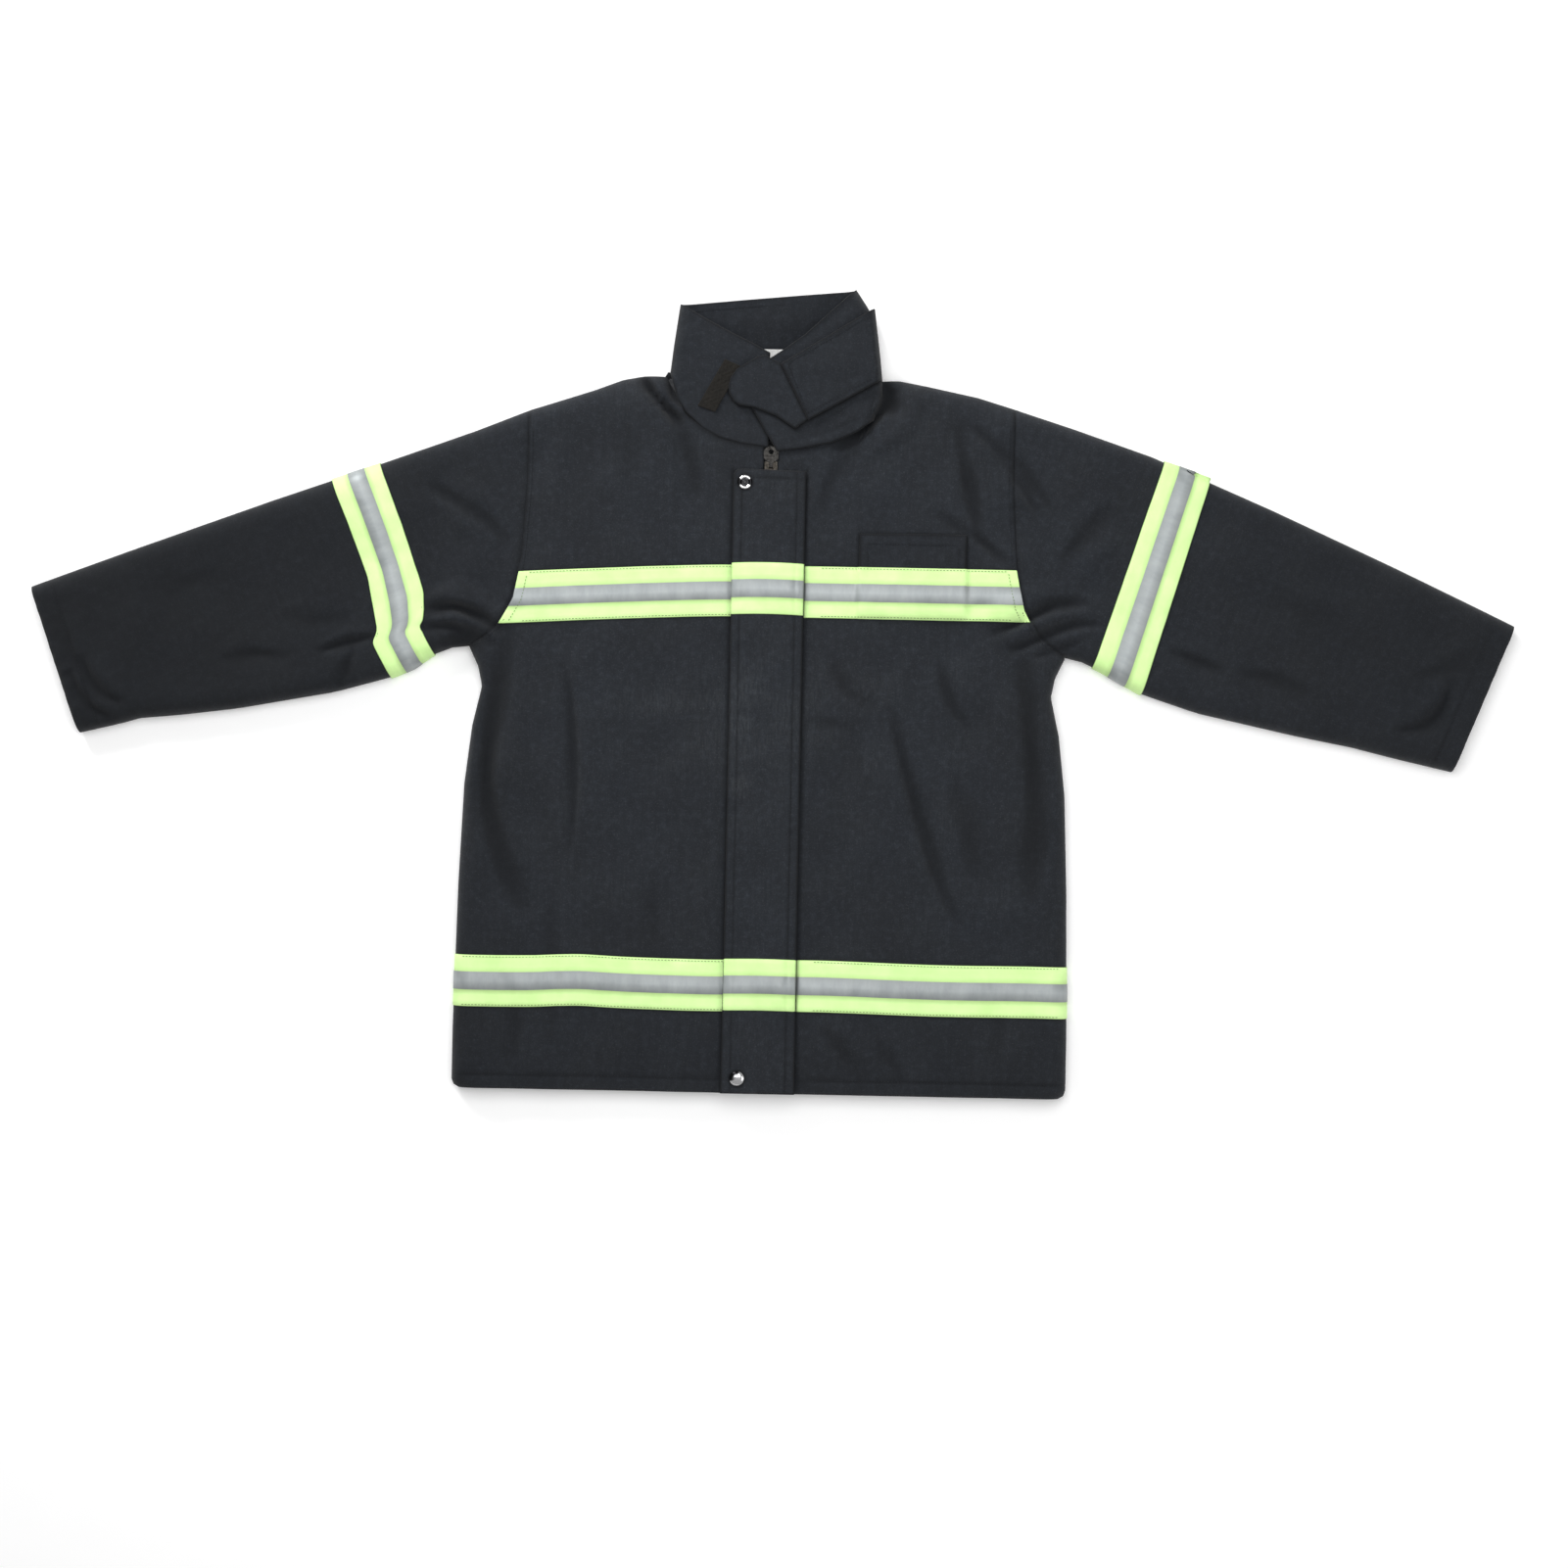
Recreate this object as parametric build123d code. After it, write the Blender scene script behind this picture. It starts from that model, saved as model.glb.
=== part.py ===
from build123d import *
import math
import os

# Firefighter's turnout coat, lying on its back with the sleeves spread.
#
# Millimetres. +X runs to the wearer's left, +Y to the collar and +Z up out of the chest.
# The origin is under the middle of the coat's outline, on the surface that it lies on.
# Outlines are written with y measured from the hem, and at() moves them to the origin.

# ---- driving dimensions --------------------------------------------------------------
COAT_LENGTH = 824.0          # hem to the highest point of the collar
HEM_HALF = 315.0             # half the width across the hem
SHOULDER_TIP = (248.0, 691.0)
ARMPIT = (306.0, 452.0)
CUFF_TOP = (757.0, 502.0)
CUFF_LOW = (704.0, 352.0)
ELBOW_TOP = (529.0, 587.0)
ELBOW_LOW = (470.0, 401.0)
NECK_SIDE = (105.0, 734.0)
FOLD_X = 90.0                # each front folds open about this line
GAP = 0.3                    # each solid stops this far from a fold line

# layers, from the surface up
SHELL = 2.0                  # outer cloth
TAPE = 0.8                   # reflective trim
BARRIER = 0.6                # moisture barrier
LINER = 3.0                  # quilted thermal liner
BACK_TOP = SHELL
BACK_BARRIER_TOP = BACK_TOP + BARRIER
BACK_LINER_TOP = BACK_BARRIER_TOP + LINER
FRONT_TOP = 25.4
FRONT_UNDER = FRONT_TOP - SHELL
FRONT_BARRIER_UNDER = FRONT_UNDER - BARRIER
FRONT_LINER_UNDER = FRONT_BARRIER_UNDER - LINER
EDGE_SLOPE = 30.0            # the side walls lean in by this angle
SHELL_WALL = 2.2
LINER_INSET = 4.5
LINER_WALL = 3.2
OPEN_END = 40.0              # blanks run on past the open ends, and are cut there
PAST = 1.0                   # a cutter runs at least this far past what it cuts
CUT_TOP = FRONT_TOP + 10.0   # a cutter that reaches up through everything stops here

# zip and front closing
EDGE_X = 11.0                # front edges stop here, either side of the zip
ZIP_TAPE_OUT = 17.0
BEAD = (2.4, 3.4)            # the teeth's bead, from and to
TOOTH_TIP = 1.0
TOOTH_WIDTH = 1.7
TOOTH_PITCH = 4.5
TOOTH_Z = (21.9, 24.3)
ZIP_FOOT = 16.0
ZIP_HEAD = 626.0
ZIP_TAPE_FOOT = 4.0
RETAINER_Y = (3.0, ZIP_FOOT - 1.0)
SLIDER_Y = 637.0
SLIDER_LONG = 18.0
SLIDER_HALF = 6.5
SLIDER_PLATE = 1.5
SLIDER_Z = (19.8, 26.4)
SLIDER_SLIT = (22.4, 23.8)   # the zip tapes run through the slider's sides here
SLIDER_FLANGE = 1.3
SLIDER_NECK = 0.6
PULL_PIVOT = (0.0, 640.5, 28.2)
PULL_THICK = 1.6
PULL_EYE_R = 1.6
PULL_EYE_WIDE = 3.8
PULL_HOLE_R = 1.05
PULL_PIN_R = 0.8
PULL_NECK = 6.0
PULL_DISC_R = 8.2
PULL_DISC_BOX = (15.0, 17.0)
PULL_DISC_OUT = 12.5         # the disc's centre, from the pivot
PULL_WINDOW_R = 2.6
PULL_WINDOW_OUT = 15.0
NECK_FRONT = 656.0

# storm flap
FLAP_FREE = -38.0
FLAP_SEWN = 36.0
FLAP_TOP_Y = 638.0
FLAP_UNDER = 26.6
FLAP_THICK = 2.4
FLAP_EDGE_Z = FLAP_UNDER + FLAP_THICK
FLAP_CHANNEL = 12.0          # half-width of the hollow that clears the zip
FLAP_CHANNEL_SLANT = 2.0
FLAP_CHANNEL_Z = 30.2
FLAP_CROWN_Z = 32.6
SNAPS = ((-26.0, 624.0), (-22.0, 16.0))
SNAP_CAP_R = 7.5
SNAP_CAP_HIGH = 2.0
SNAP_CAP_ROUND = 1.5
SNAP_CAP_SINK = 0.3          # the cap presses this far into the flap
SNAP_POST_R = 1.9
SOCKET_R = 6.0
SOCKET_BORE_R = 3.5
SOCKET_TOP = FLAP_UNDER + 2.4
SOCKET_ROOF = 0.6
STUD_R = 5.2
STUD_BALL_R = 2.9
STUD_HIGH = 2.4
EYELET_R = 5.0
FASTENER = 0.5               # hook and loop strips, and the stud's flange
FIT = 0.2                    # seated pieces stand clear of their pockets by this
FASTENER_X = (-35.0, -17.0)
FASTENER_RUNS = ((32.0, 80.0), (141.0, 483.0), (544.0, 608.0))

# reflective trim
TAPE_WIDTH = 53.0
CHEST_TAPE_LOW = 487.0
CHEST_TAPE_HIGH = CHEST_TAPE_LOW + TAPE_WIDTH
HEM_TAPE_LOW = 84.0
HEM_TAPE_HIGH = HEM_TAPE_LOW + TAPE_WIDTH
CHEST_TAPE_ENDS = (272.0, 256.0)    # half-length along its lower and upper edge
BAND_OUTER = ((447.0, 618.0), (384.0, 419.0))
BAND_INNER = ((399.0, 636.0), (336.0, 441.0))
BAND_RUN_ON = 12.0           # the band's edges run past the sleeve's edges to wrap round

# collar
COLLAR_BACK_TOP = 4.0
COLLAR_WALL = 3.0
RIGHT_COLLAR_Z = (23.8, 27.2)
LEFT_COLLAR_Z = (27.6, 31.0)
TAB_Z = (31.4, 34.0)
COVER_Z = (34.4, 37.0)
TAB_HINGE = ((8.0, 745.0), (37.0, 688.0))

# chest pocket
POCKET_X = (92.5, 201.0)
POCKET_Y = (490.0, 574.0)
POCKET_GAP = 4.6
POCKET_CLOTH = 1.2
POCKET_SEAM = 2.0

# hanger loop
LOOP_WIDE = 60.0
LOOP_DEEP = 10.0
LOOP_LOW_Y = 712.0
LOOP_RISE = 5.2
LOOP_CLOTH = 1.5
LOOP_FOOT = 6.0

# one half of the coat's silhouette, from the hem to the side of the neck
HALF_OUTLINE = [
    (HEM_HALF, -OPEN_END), (HEM_HALF, 8), (311, 211), (305, 339), (289, 425), ARMPIT,
    (335, 442), (383, 419), (450, 404), (550, 381), (648, 368), CUFF_LOW,
]
SHOULDER_SEAM = [(133, 731), NECK_SIDE]
NECK_CURVE = [(FOLD_X, 697), (53, 669), (EDGE_X, NECK_FRONT)]

# places outside the silhouette, where the body's cutting lines pass under and over a sleeve
UNDER_SLEEVE = [(HEM_HALF + OPEN_END, 420), (330, 425)]
OVER_SHOULDER = [(244, 760), (NECK_SIDE[0], 760)]

# the moisture barrier of one front
BARRIER_OUTLINE = [
    (FOLD_X + GAP, 5), (285, 5), (278, 330), (262, 430), (250, 560), (230, 670), (120, 705),
    (FOLD_X + GAP, 690),
]

os.makedirs("parts", exist_ok=True)


# ---- small helpers -------------------------------------------------------------------
def at(point):
    """A point with y from the hem, as x and y from the origin."""
    return (point[0], point[1] - COAT_LENGTH / 2)


def mirrored(points, side):
    """Points written for the wearer's left, for that side: +1 is left and -1 is right."""
    return [(side * x, y) for x, y in points]


def face_of(points):
    return make_face(Polyline(*[at(p) for p in points], close=True))


def prism(points, low, high):
    """A straight-sided slab over that outline, between two heights."""
    return Pos(0, 0, low) * extrude(face_of(points), high - low)


def slab(x0, x1, y0, y1, low, high):
    return prism([(x0, y0), (x1, y0), (x1, y1), (x0, y1)], low, high)


def along(start, end, far):
    """The point on the line from start to end, that far from start."""
    length = math.dist(start, end)
    return tuple(a + (b - a) * far / length for a, b in zip(start, end))


def shifted(points, dx, dy):
    return [(x + dx, y + dy) for x, y in points]


def both_halves(half):
    """An outline's half for the wearer's left, closed with its mirror image."""
    return half + [(-x, y) for x, y in reversed(half)]


def save(node, shape):
    """Writes one node. A part list becomes one compound of separate solids."""
    solids = shape if isinstance(shape, list) else shape.solids()
    flat = [s for item in solids for s in item.solids()]
    export_step(Compound(children=flat) if len(flat) > 1 else flat[0], f"parts/{node}.step")


# ---- blanks: the whole coat as tapered shells, cut into panels afterwards -------------
def whole_outline():
    out_x, out_y = along(SHOULDER_TIP, CUFF_TOP, OPEN_END)
    cuff_end = shifted([CUFF_LOW, CUFF_TOP], out_x - SHOULDER_TIP[0], out_y - SHOULDER_TIP[1])
    over_neck = (NECK_SIDE[0], COAT_LENGTH + OPEN_END)
    half = HALF_OUTLINE + cuff_end + [CUFF_TOP, SHOULDER_TIP] + SHOULDER_SEAM + [over_neck]
    return both_halves(half)


OUTLINE = whole_outline()


def outline_face(inset):
    """The silhouette's face, drawn in by that much, or let out where it is negative."""
    face = face_of(OUTLINE)
    return offset(face, amount=-inset, kind=Kind.INTERSECTION) if inset else face


def tapered(inset, low, high):
    """The silhouette as a slab whose sides lean in as they rise."""
    return Pos(0, 0, low) * extrude(outline_face(inset), amount=high - low, taper=EDGE_SLOPE)


def flat_blank(inset, low, high):
    return Pos(0, 0, low) * extrude(outline_face(inset), amount=high - low)


SHELL_BLOCK = tapered(0, BACK_TOP, FRONT_TOP)
SHELL_BLANK = SHELL_BLOCK - tapered(SHELL_WALL, BACK_TOP, FRONT_UNDER)
LINER_BLANK = (
    tapered(LINER_INSET, BACK_LINER_TOP, FRONT_BARRIER_UNDER)
    - tapered(LINER_INSET + LINER_WALL, BACK_LINER_TOP, FRONT_LINER_UNDER)
)
TAPE_BLANK = tapered(-TAPE, BACK_TOP, FRONT_TOP + TAPE) - SHELL_BLOCK
UNDER_BLANK = flat_blank(0, 0, BACK_TOP)
UNDER_LINER_BLANK = flat_blank(LINER_INSET, BACK_BARRIER_TOP, BACK_LINER_TOP)
SLEEVE_LINER_FLOOR = flat_blank(LINER_INSET, BACK_TOP, BACK_LINER_TOP)
BARRIER_BLANK = flat_blank(LINER_INSET + LINER_WALL, BACK_TOP, BACK_BARRIER_TOP)


# ---- regions: where each panel is cut from the blanks --------------------------------
def side_of_line(start, end, shift):
    """The line's two ends, run on past the silhouette and moved outboard by shift."""
    head = along(start, end, -OPEN_END)
    foot = along(end, start, -OPEN_END)
    return shifted([head, foot], shift, 0)


def body_side():
    """The body's cutting line from the hem, up the side and armhole, to the neck."""
    armhole = shifted([ARMPIT, SHOULDER_TIP], -GAP, 0)
    return [(HEM_HALF + OPEN_END, 0)] + UNDER_SLEEVE + armhole + OVER_SHOULDER + [NECK_SIDE]


def side_region():
    return [(FOLD_X + GAP, 0)] + body_side() + [(FOLD_X + GAP, NECK_CURVE[0][1] + PAST)]


def edge_region():
    corner = (FOLD_X - GAP, NECK_CURVE[0][1])
    return [(EDGE_X, 0), (FOLD_X - GAP, 0), corner] + NECK_CURVE[1:]


def back_region():
    return both_halves(body_side() + [(40, 729)])


def upper_region():
    head, foot = side_of_line(SHOULDER_TIP, ARMPIT, GAP)
    far_head, far_foot = side_of_line(ELBOW_TOP, ELBOW_LOW, -GAP)
    return [head, foot, far_foot, far_head]


def fore_region():
    head, foot = side_of_line(ELBOW_TOP, ELBOW_LOW, GAP)
    far_head, far_foot = side_of_line(CUFF_TOP, CUFF_LOW, 0)
    return [head, foot, far_foot, far_head]


def cut(blank, region, side=1):
    """The part of a blank that stands over a region."""
    return blank & prism(mirrored(region, side), -PAST, CUT_TOP)


# ---- trim outlines -------------------------------------------------------------------
def chest_tape_outline():
    low, high = CHEST_TAPE_ENDS
    return [(-low, CHEST_TAPE_LOW), (low, CHEST_TAPE_LOW), (high, CHEST_TAPE_HIGH),
            (-high, CHEST_TAPE_HIGH)]


def hem_tape_outline():
    wide = HEM_HALF + OPEN_END
    return [(-wide, HEM_TAPE_LOW), (wide, HEM_TAPE_LOW), (wide, HEM_TAPE_HIGH),
            (-wide, HEM_TAPE_HIGH)]


def run_on(head, foot):
    """A band's edge from head to foot, longer at both ends."""
    return [along(head, foot, -BAND_RUN_ON), along(foot, head, -BAND_RUN_ON)]


def band_outline():
    return run_on(*BAND_OUTER) + run_on(*reversed(BAND_INNER))


def between(x0, x1):
    """Everything between two places across the coat."""
    return slab(x0, x1, 0, COAT_LENGTH, 0, CUT_TOP)


def strip_of(outline, x0, x1):
    """A tape's outline as a flat slab on the front, between two places across the coat."""
    return prism(outline, FRONT_TOP, FRONT_TOP + TAPE) & between(x0, x1)


# ---- body of the coat ----------------------------------------------------------------
def back_panels():
    chest, hem = prism(chest_tape_outline(), 0, TAPE), prism(hem_tape_outline(), 0, TAPE)
    back = cut(UNDER_BLANK, back_region())
    save("back_tapes", [back & chest, back & hem])
    save("back_shell", back - chest - hem)
    save("back_barrier", cut(BARRIER_BLANK, back_region()))
    save("back_liner", cut(UNDER_LINER_BLANK, back_region()))


def front_sides():
    barriers = []
    for name, side in (("right", -1), ("left", 1)):
        region = side_region()
        save(f"{name}_front_side", cut(SHELL_BLANK, region, side))
        save(f"{name}_liner_side", cut(LINER_BLANK, region, side))
        barriers.append(prism(mirrored(BARRIER_OUTLINE, side), FRONT_BARRIER_UNDER, FRONT_UNDER))
    save("front_barriers", barriers)


def front_edges():
    for name, side in (("right", -1), ("left", 1)):
        # the cloth and liner of a front's inner strip are flat, and open at the zip
        cloth = prism(mirrored(edge_region(), side), FRONT_UNDER, FRONT_TOP)
        if name == "right":
            cloth -= [snap_hole(x, y) for x, y in SNAPS]
        save(f"{name}_front_edge", cloth)
        quilt = prism(mirrored(edge_region(), side), FRONT_LINER_UNDER, FRONT_BARRIER_UNDER)
        save(f"{name}_liner_edge", quilt)


def side_tapes():
    hem = cut(TAPE_BLANK, hem_tape_outline())
    for name, side in (("right", -1), ("left", 1)):
        x0, x1 = sorted((side * (FOLD_X + GAP), side * (HEM_HALF + OPEN_END)))
        chest = strip_of(chest_tape_outline(), x0, x1)
        if name == "left":
            chest = tape_over_pocket(chest)
        save(f"{name}_side_tapes", [chest, hem & between(x0, x1)])


def tape_over_pocket(chest):
    """The left chest tape is sewn over the pocket, so it steps up and down again."""
    wall_thick = 1.0
    face_z = FRONT_TOP + POCKET_GAP + POCKET_CLOTH
    x0, x1 = POCKET_X[0] - FIT, POCKET_X[1] + FIT
    out0, out1 = x0 - wall_thick, x1 + wall_thick
    chest -= between(x0, x1)
    chest += slab(out0, out1, CHEST_TAPE_LOW, CHEST_TAPE_HIGH, face_z, face_z + TAPE)
    for low_x, high_x in ((out0, x0), (x1, out1)):
        chest += slab(low_x, high_x, CHEST_TAPE_LOW, CHEST_TAPE_HIGH, FRONT_TOP, face_z)
    return chest


def edge_tapes():
    spans = {"right": (-FOLD_X + GAP, -EDGE_X), "left": (FLAP_SEWN + FIT, FOLD_X - GAP)}
    for name, (x0, x1) in spans.items():
        save(f"{name}_edge_tapes",
             [strip_of(o, x0, x1) for o in (chest_tape_outline(), hem_tape_outline())])


def chest_pocket():
    (x0, x1), (y0, y1) = POCKET_X, POCKET_Y
    roof = FRONT_TOP + POCKET_GAP
    block = slab(x0, x1, y0, y1, FRONT_TOP, roof + POCKET_CLOTH)
    inside = slab(x0 + POCKET_SEAM, x1 - POCKET_SEAM, y0 + POCKET_SEAM, y1 + PAST,
                  FRONT_TOP - PAST, roof)
    save("chest_pocket", block - inside)


def sleeves():
    for name, side in (("right", -1), ("left", 1)):
        band = prism(mirrored(band_outline(), side), -PAST, CUT_TOP)
        under_band = UNDER_BLANK & prism(mirrored(band_outline(), side), 0, TAPE)
        for part, region in (("upper", upper_region()), ("fore", fore_region())):
            under = cut(UNDER_BLANK, region, side)
            if part == "upper":
                under -= under_band
                save(f"{name}_sleeve_band", [TAPE_BLANK & band, under_band])
            save(f"{name}_{part}_sleeve_top", cut(SHELL_BLANK, region, side))
            save(f"{name}_{part}_sleeve_under", under)
            tube = cut(LINER_BLANK, region, side) + cut(SLEEVE_LINER_FLOOR, region, side)
            save(f"{name}_{part}_sleeve_liner", tube)


# ---- collar --------------------------------------------------------------------------
COLLAR_FOOT = 735.3
RIGHT_SILHOUETTE = [(-NECK_SIDE[0], 735), (-96, 806)]
LEFT_SILHOUETTE = [(84, COAT_LENGTH), (103, 804), (113, 736)]
RIGHT_COLLAR = [(-FOLD_X + GAP, 697), (-53, 670), (-3, 661), (-3, 757), (-FOLD_X + GAP, 802)]
LEFT_COLLAR = [
    (4, 661), (53, 670), (FOLD_X - GAP, 697), (FOLD_X - GAP, 817.3), (84, COAT_LENGTH), (9, 759),
    (-22, 738), (-20, 699),
]
NECK_STRIP = [(4, 661), (53, 670), (FOLD_X - GAP, 697), (FOLD_X - GAP, 702), (52, 675), (4, 666)]
RIGHT_RETURN = [(-105, 735), (-96, 806), (-FOLD_X - GAP, 803), (-FOLD_X - GAP, 699)]
LEFT_RETURN = [
    (FOLD_X + GAP, 699), (104.5, 735), (113, 736), (103, 804), (FOLD_X + GAP, 817),
]
LOOP_PATCH = [(-49, 748), (-32, 743), (-58, 695), (-76, 701)]
LABEL_BOX = (-18, 14, 738, 770)
LABEL_THICK = 0.4
TAB_FREE_EDGE = [
    (-8, 754), (-30, 744), (-41, 732), (-45, 720), (-41, 708), (-33, 701), (-18, 700), (4, 692),
    (24, 679),
]
TAB_HOOK = [(-40, 722), (-34, 736), (-25, 738), (-24, 706), (-34, 706)]
TAB_HOOK_THICK = 0.6
TAB_BASE_STEP = (18, 8)
COVER_END = [(FOLD_X + GAP, 719), (112, 731), (103, 804), (FOLD_X + GAP, 796)]


def wall(line, inward):
    """A thin upright wall that follows a line of points, inward of it."""
    inner = [(x + inward * COLLAR_WALL, y) for x, y in reversed(line)]
    return prism(list(line) + inner, COLLAR_BACK_TOP, RIGHT_COLLAR_Z[0])


def collar():
    right_foot, left_foot = (-NECK_SIDE[0], COLLAR_FOOT), (LEFT_SILHOUETTE[-1][0], COLLAR_FOOT)
    back = [right_foot] + RIGHT_SILHOUETTE[1:] + LEFT_SILHOUETTE + [left_foot]
    solid = prism(back, 0, COLLAR_BACK_TOP)
    solid += wall(RIGHT_SILHOUETTE, 1)
    solid += wall(LEFT_SILHOUETTE, -1)
    solid += prism(RIGHT_RETURN, *RIGHT_COLLAR_Z)
    solid += prism(LEFT_RETURN, RIGHT_COLLAR_Z[0], LEFT_COLLAR_Z[1])
    save("back_collar", solid)
    save("right_collar", prism(RIGHT_COLLAR, *RIGHT_COLLAR_Z))
    save("left_collar", prism(LEFT_COLLAR, *LEFT_COLLAR_Z))
    save("left_collar_stand", prism(NECK_STRIP, RIGHT_COLLAR_Z[0], LEFT_COLLAR_Z[0]))
    save("collar_loop_patch", prism(LOOP_PATCH, RIGHT_COLLAR_Z[1], RIGHT_COLLAR_Z[1] + TAPE))
    save("neck_label", slab(*LABEL_BOX, COLLAR_BACK_TOP, COLLAR_BACK_TOP + LABEL_THICK))


def throat_tab():
    """The tab that closes over the throat, and the part of it that is sewn to the collar."""
    tab_head, tab_foot = shifted(TAB_HINGE, -GAP, 0)
    save("throat_tab", prism([tab_head] + TAB_FREE_EDGE + [tab_foot], *TAB_Z))
    save("throat_tab_hook", prism(TAB_HOOK, TAB_Z[0] - TAB_HOOK_THICK, TAB_Z[0]))
    sewn_edge = shifted(reversed(TAB_HINGE), *TAB_BASE_STEP)
    save("throat_tab_base", prism(shifted(TAB_HINGE, GAP, 0) + sewn_edge, *TAB_Z))


def throat_cover():
    """The collar's upper layer over the tab's root, in two pieces that meet at the fold line."""
    cover = list(TAB_HINGE) + [(FOLD_X - GAP, 719), (FOLD_X - GAP, 796)]
    save("throat_cover", prism(cover, *COVER_Z))
    save("throat_cover_end", prism(COVER_END, LEFT_COLLAR_Z[1], COVER_Z[1]))


def hanger_loop():
    """A webbing loop at the back of the neck, lying on the liner, open under its bridge."""
    half, high_y = LOOP_WIDE / 2, LOOP_LOW_Y + LOOP_DEEP
    bridge = BACK_LINER_TOP + LOOP_RISE
    block = slab(-half, half, LOOP_LOW_Y, high_y, BACK_LINER_TOP, bridge + LOOP_CLOTH)
    inside = half - LOOP_FOOT
    gap = slab(-inside, inside, LOOP_LOW_Y - PAST, high_y + PAST, BACK_LINER_TOP - PAST, bridge)
    save("hanger_loop", block - gap)


# ---- zip -----------------------------------------------------------------------------
def comb(side):
    """One row of teeth, moulded on its bead."""
    tooth_count = int((ZIP_HEAD - ZIP_FOOT) / TOOTH_PITCH)
    start = ZIP_FOOT + (TOOTH_PITCH / 2 if side > 0 else 0)
    points = [(BEAD[1], ZIP_FOOT), (BEAD[0], ZIP_FOOT)]
    for n in range(tooth_count):
        low = start + n * TOOTH_PITCH + TOOTH_PITCH / 4
        high = low + TOOTH_WIDTH
        points += [(BEAD[0], low), (TOOTH_TIP, low), (TOOTH_TIP, high), (BEAD[0], high)]
    points += [(BEAD[0], ZIP_HEAD), (BEAD[1], ZIP_HEAD)]
    return prism(mirrored(points, side), *TOOTH_Z)


def zip_rows():
    for name, side, top in (("right", -1, ZIP_HEAD), ("left", 1, NECK_FRONT)):
        x0, x1 = sorted((side * BEAD[1], side * ZIP_TAPE_OUT))
        save(f"{name}_zip_tape", slab(x0, x1, ZIP_TAPE_FOOT, top, FRONT_BARRIER_UNDER, FRONT_UNDER))
        save(f"{name}_zip_teeth", comb(side))
    save("zip_retainer_box", slab(-BEAD[0], BEAD[1], *RETAINER_Y, *TOOTH_Z))


def slider_wing(side):
    """One side of the slider, slit where the zip tape runs through."""
    x0, x1 = sorted((side * SLIDER_HALF, side * (SLIDER_HALF - SLIDER_FLANGE)))
    y0, y1 = SLIDER_Y - SLIDER_LONG / 2, SLIDER_Y + SLIDER_LONG / 2
    lower = slab(x0, x1, y0, y1, SLIDER_Z[0], SLIDER_SLIT[0])
    return lower + slab(x0, x1, y0, y1, SLIDER_SLIT[1], SLIDER_Z[1])


def slider_lug(side):
    """One ear beside the pull's eye."""
    ear_in, ear_out = PULL_EYE_WIDE / 2 + 0.3, PULL_EYE_WIDE / 2 + 1.5
    half_deep, over_pin = 1.6, 1.2
    x0, x1 = sorted((side * ear_in, side * ear_out))
    px, py, pz = PULL_PIVOT
    return slab(x0, x1, py - half_deep, py + half_deep, SLIDER_Z[1] - SLIDER_PLATE, pz + over_pin)


def zip_slider():
    (low_z, high_z), half = SLIDER_Z, SLIDER_HALF
    y0, y1 = SLIDER_Y - SLIDER_LONG / 2, SLIDER_Y + SLIDER_LONG / 2
    body = slab(-half, half, y0, y1, low_z, low_z + SLIDER_PLATE)
    body += slab(-half, half, y0, y1, high_z - SLIDER_PLATE, high_z)
    body += slider_wing(-1) + slider_wing(1)
    # the neck between the plates parts the two rows of teeth
    neck_long, neck_back = 7.0, 1.0
    body += slab(-SLIDER_NECK, SLIDER_NECK, y1 - neck_long, y1 - neck_back, low_z, high_z)
    corner_cut, close = 1.0, 0.01
    corners = [e for e in body.edges().filter_by(Axis.Z) if abs(abs(e.center().X) - half) < close]
    body = chamfer(corners, corner_cut)
    pin_long = PULL_EYE_WIDE + 3.0
    body += slider_lug(-1) + slider_lug(1)
    save("zip_slider", body + across_pivot(PULL_PIN_R, pin_long))


def across_pivot(radius, long):
    """A round bar across the coat, on the pull's pivot."""
    px, py, pz = PULL_PIVOT
    return Pos(*at((px, py)), pz) * Rot(0, 90, 0) * Cylinder(radius, long)


def zip_pull():
    px, py, pz = PULL_PIVOT
    half_eye, half_thick = PULL_EYE_WIDE / 2, PULL_THICK / 2
    eye = across_pivot(PULL_EYE_R, PULL_EYE_WIDE)
    neck = slab(px - half_eye, px + half_eye, py, py + PULL_NECK, pz - half_thick, pz + half_thick)
    disc_at = Pos(*at((px, py + PULL_DISC_OUT)), pz)
    disc = disc_at * Cylinder(PULL_DISC_R, PULL_THICK) & disc_at * Box(*PULL_DISC_BOX, 2 * PULL_THICK)
    window_at = Pos(*at((px, py + PULL_WINDOW_OUT)), pz)
    window = window_at * Cylinder(PULL_WINDOW_R, 2 * PULL_THICK)
    hole = across_pivot(PULL_HOLE_R, 2 * PULL_EYE_WIDE)
    save("zip_pull", eye + neck + disc - window - hole)


# ---- storm flap and snaps ------------------------------------------------------------
def upright(x, y, radius, low, high):
    """A round post between two heights, over a place on the coat."""
    stand = (Align.CENTER, Align.CENTER, Align.MIN)
    return Pos(*at((x, y)), low) * Cylinder(radius, high - low, align=stand)


def snap_hole(x, y):
    return upright(x, y, SNAP_POST_R, FRONT_LINER_UNDER, CUT_TOP)


def cap_seat(x):
    """The height of the flat that a snap cap presses into the flap."""
    return flap_top_z(x) - SNAP_CAP_SINK


def flap_top_z(x):
    """The flap's upper face, a shallow crown over the zip."""
    run = x / (FLAP_FREE if x < 0 else FLAP_SEWN)
    return FLAP_CROWN_Z - (FLAP_CROWN_Z - FLAP_EDGE_Z) * run * run


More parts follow.
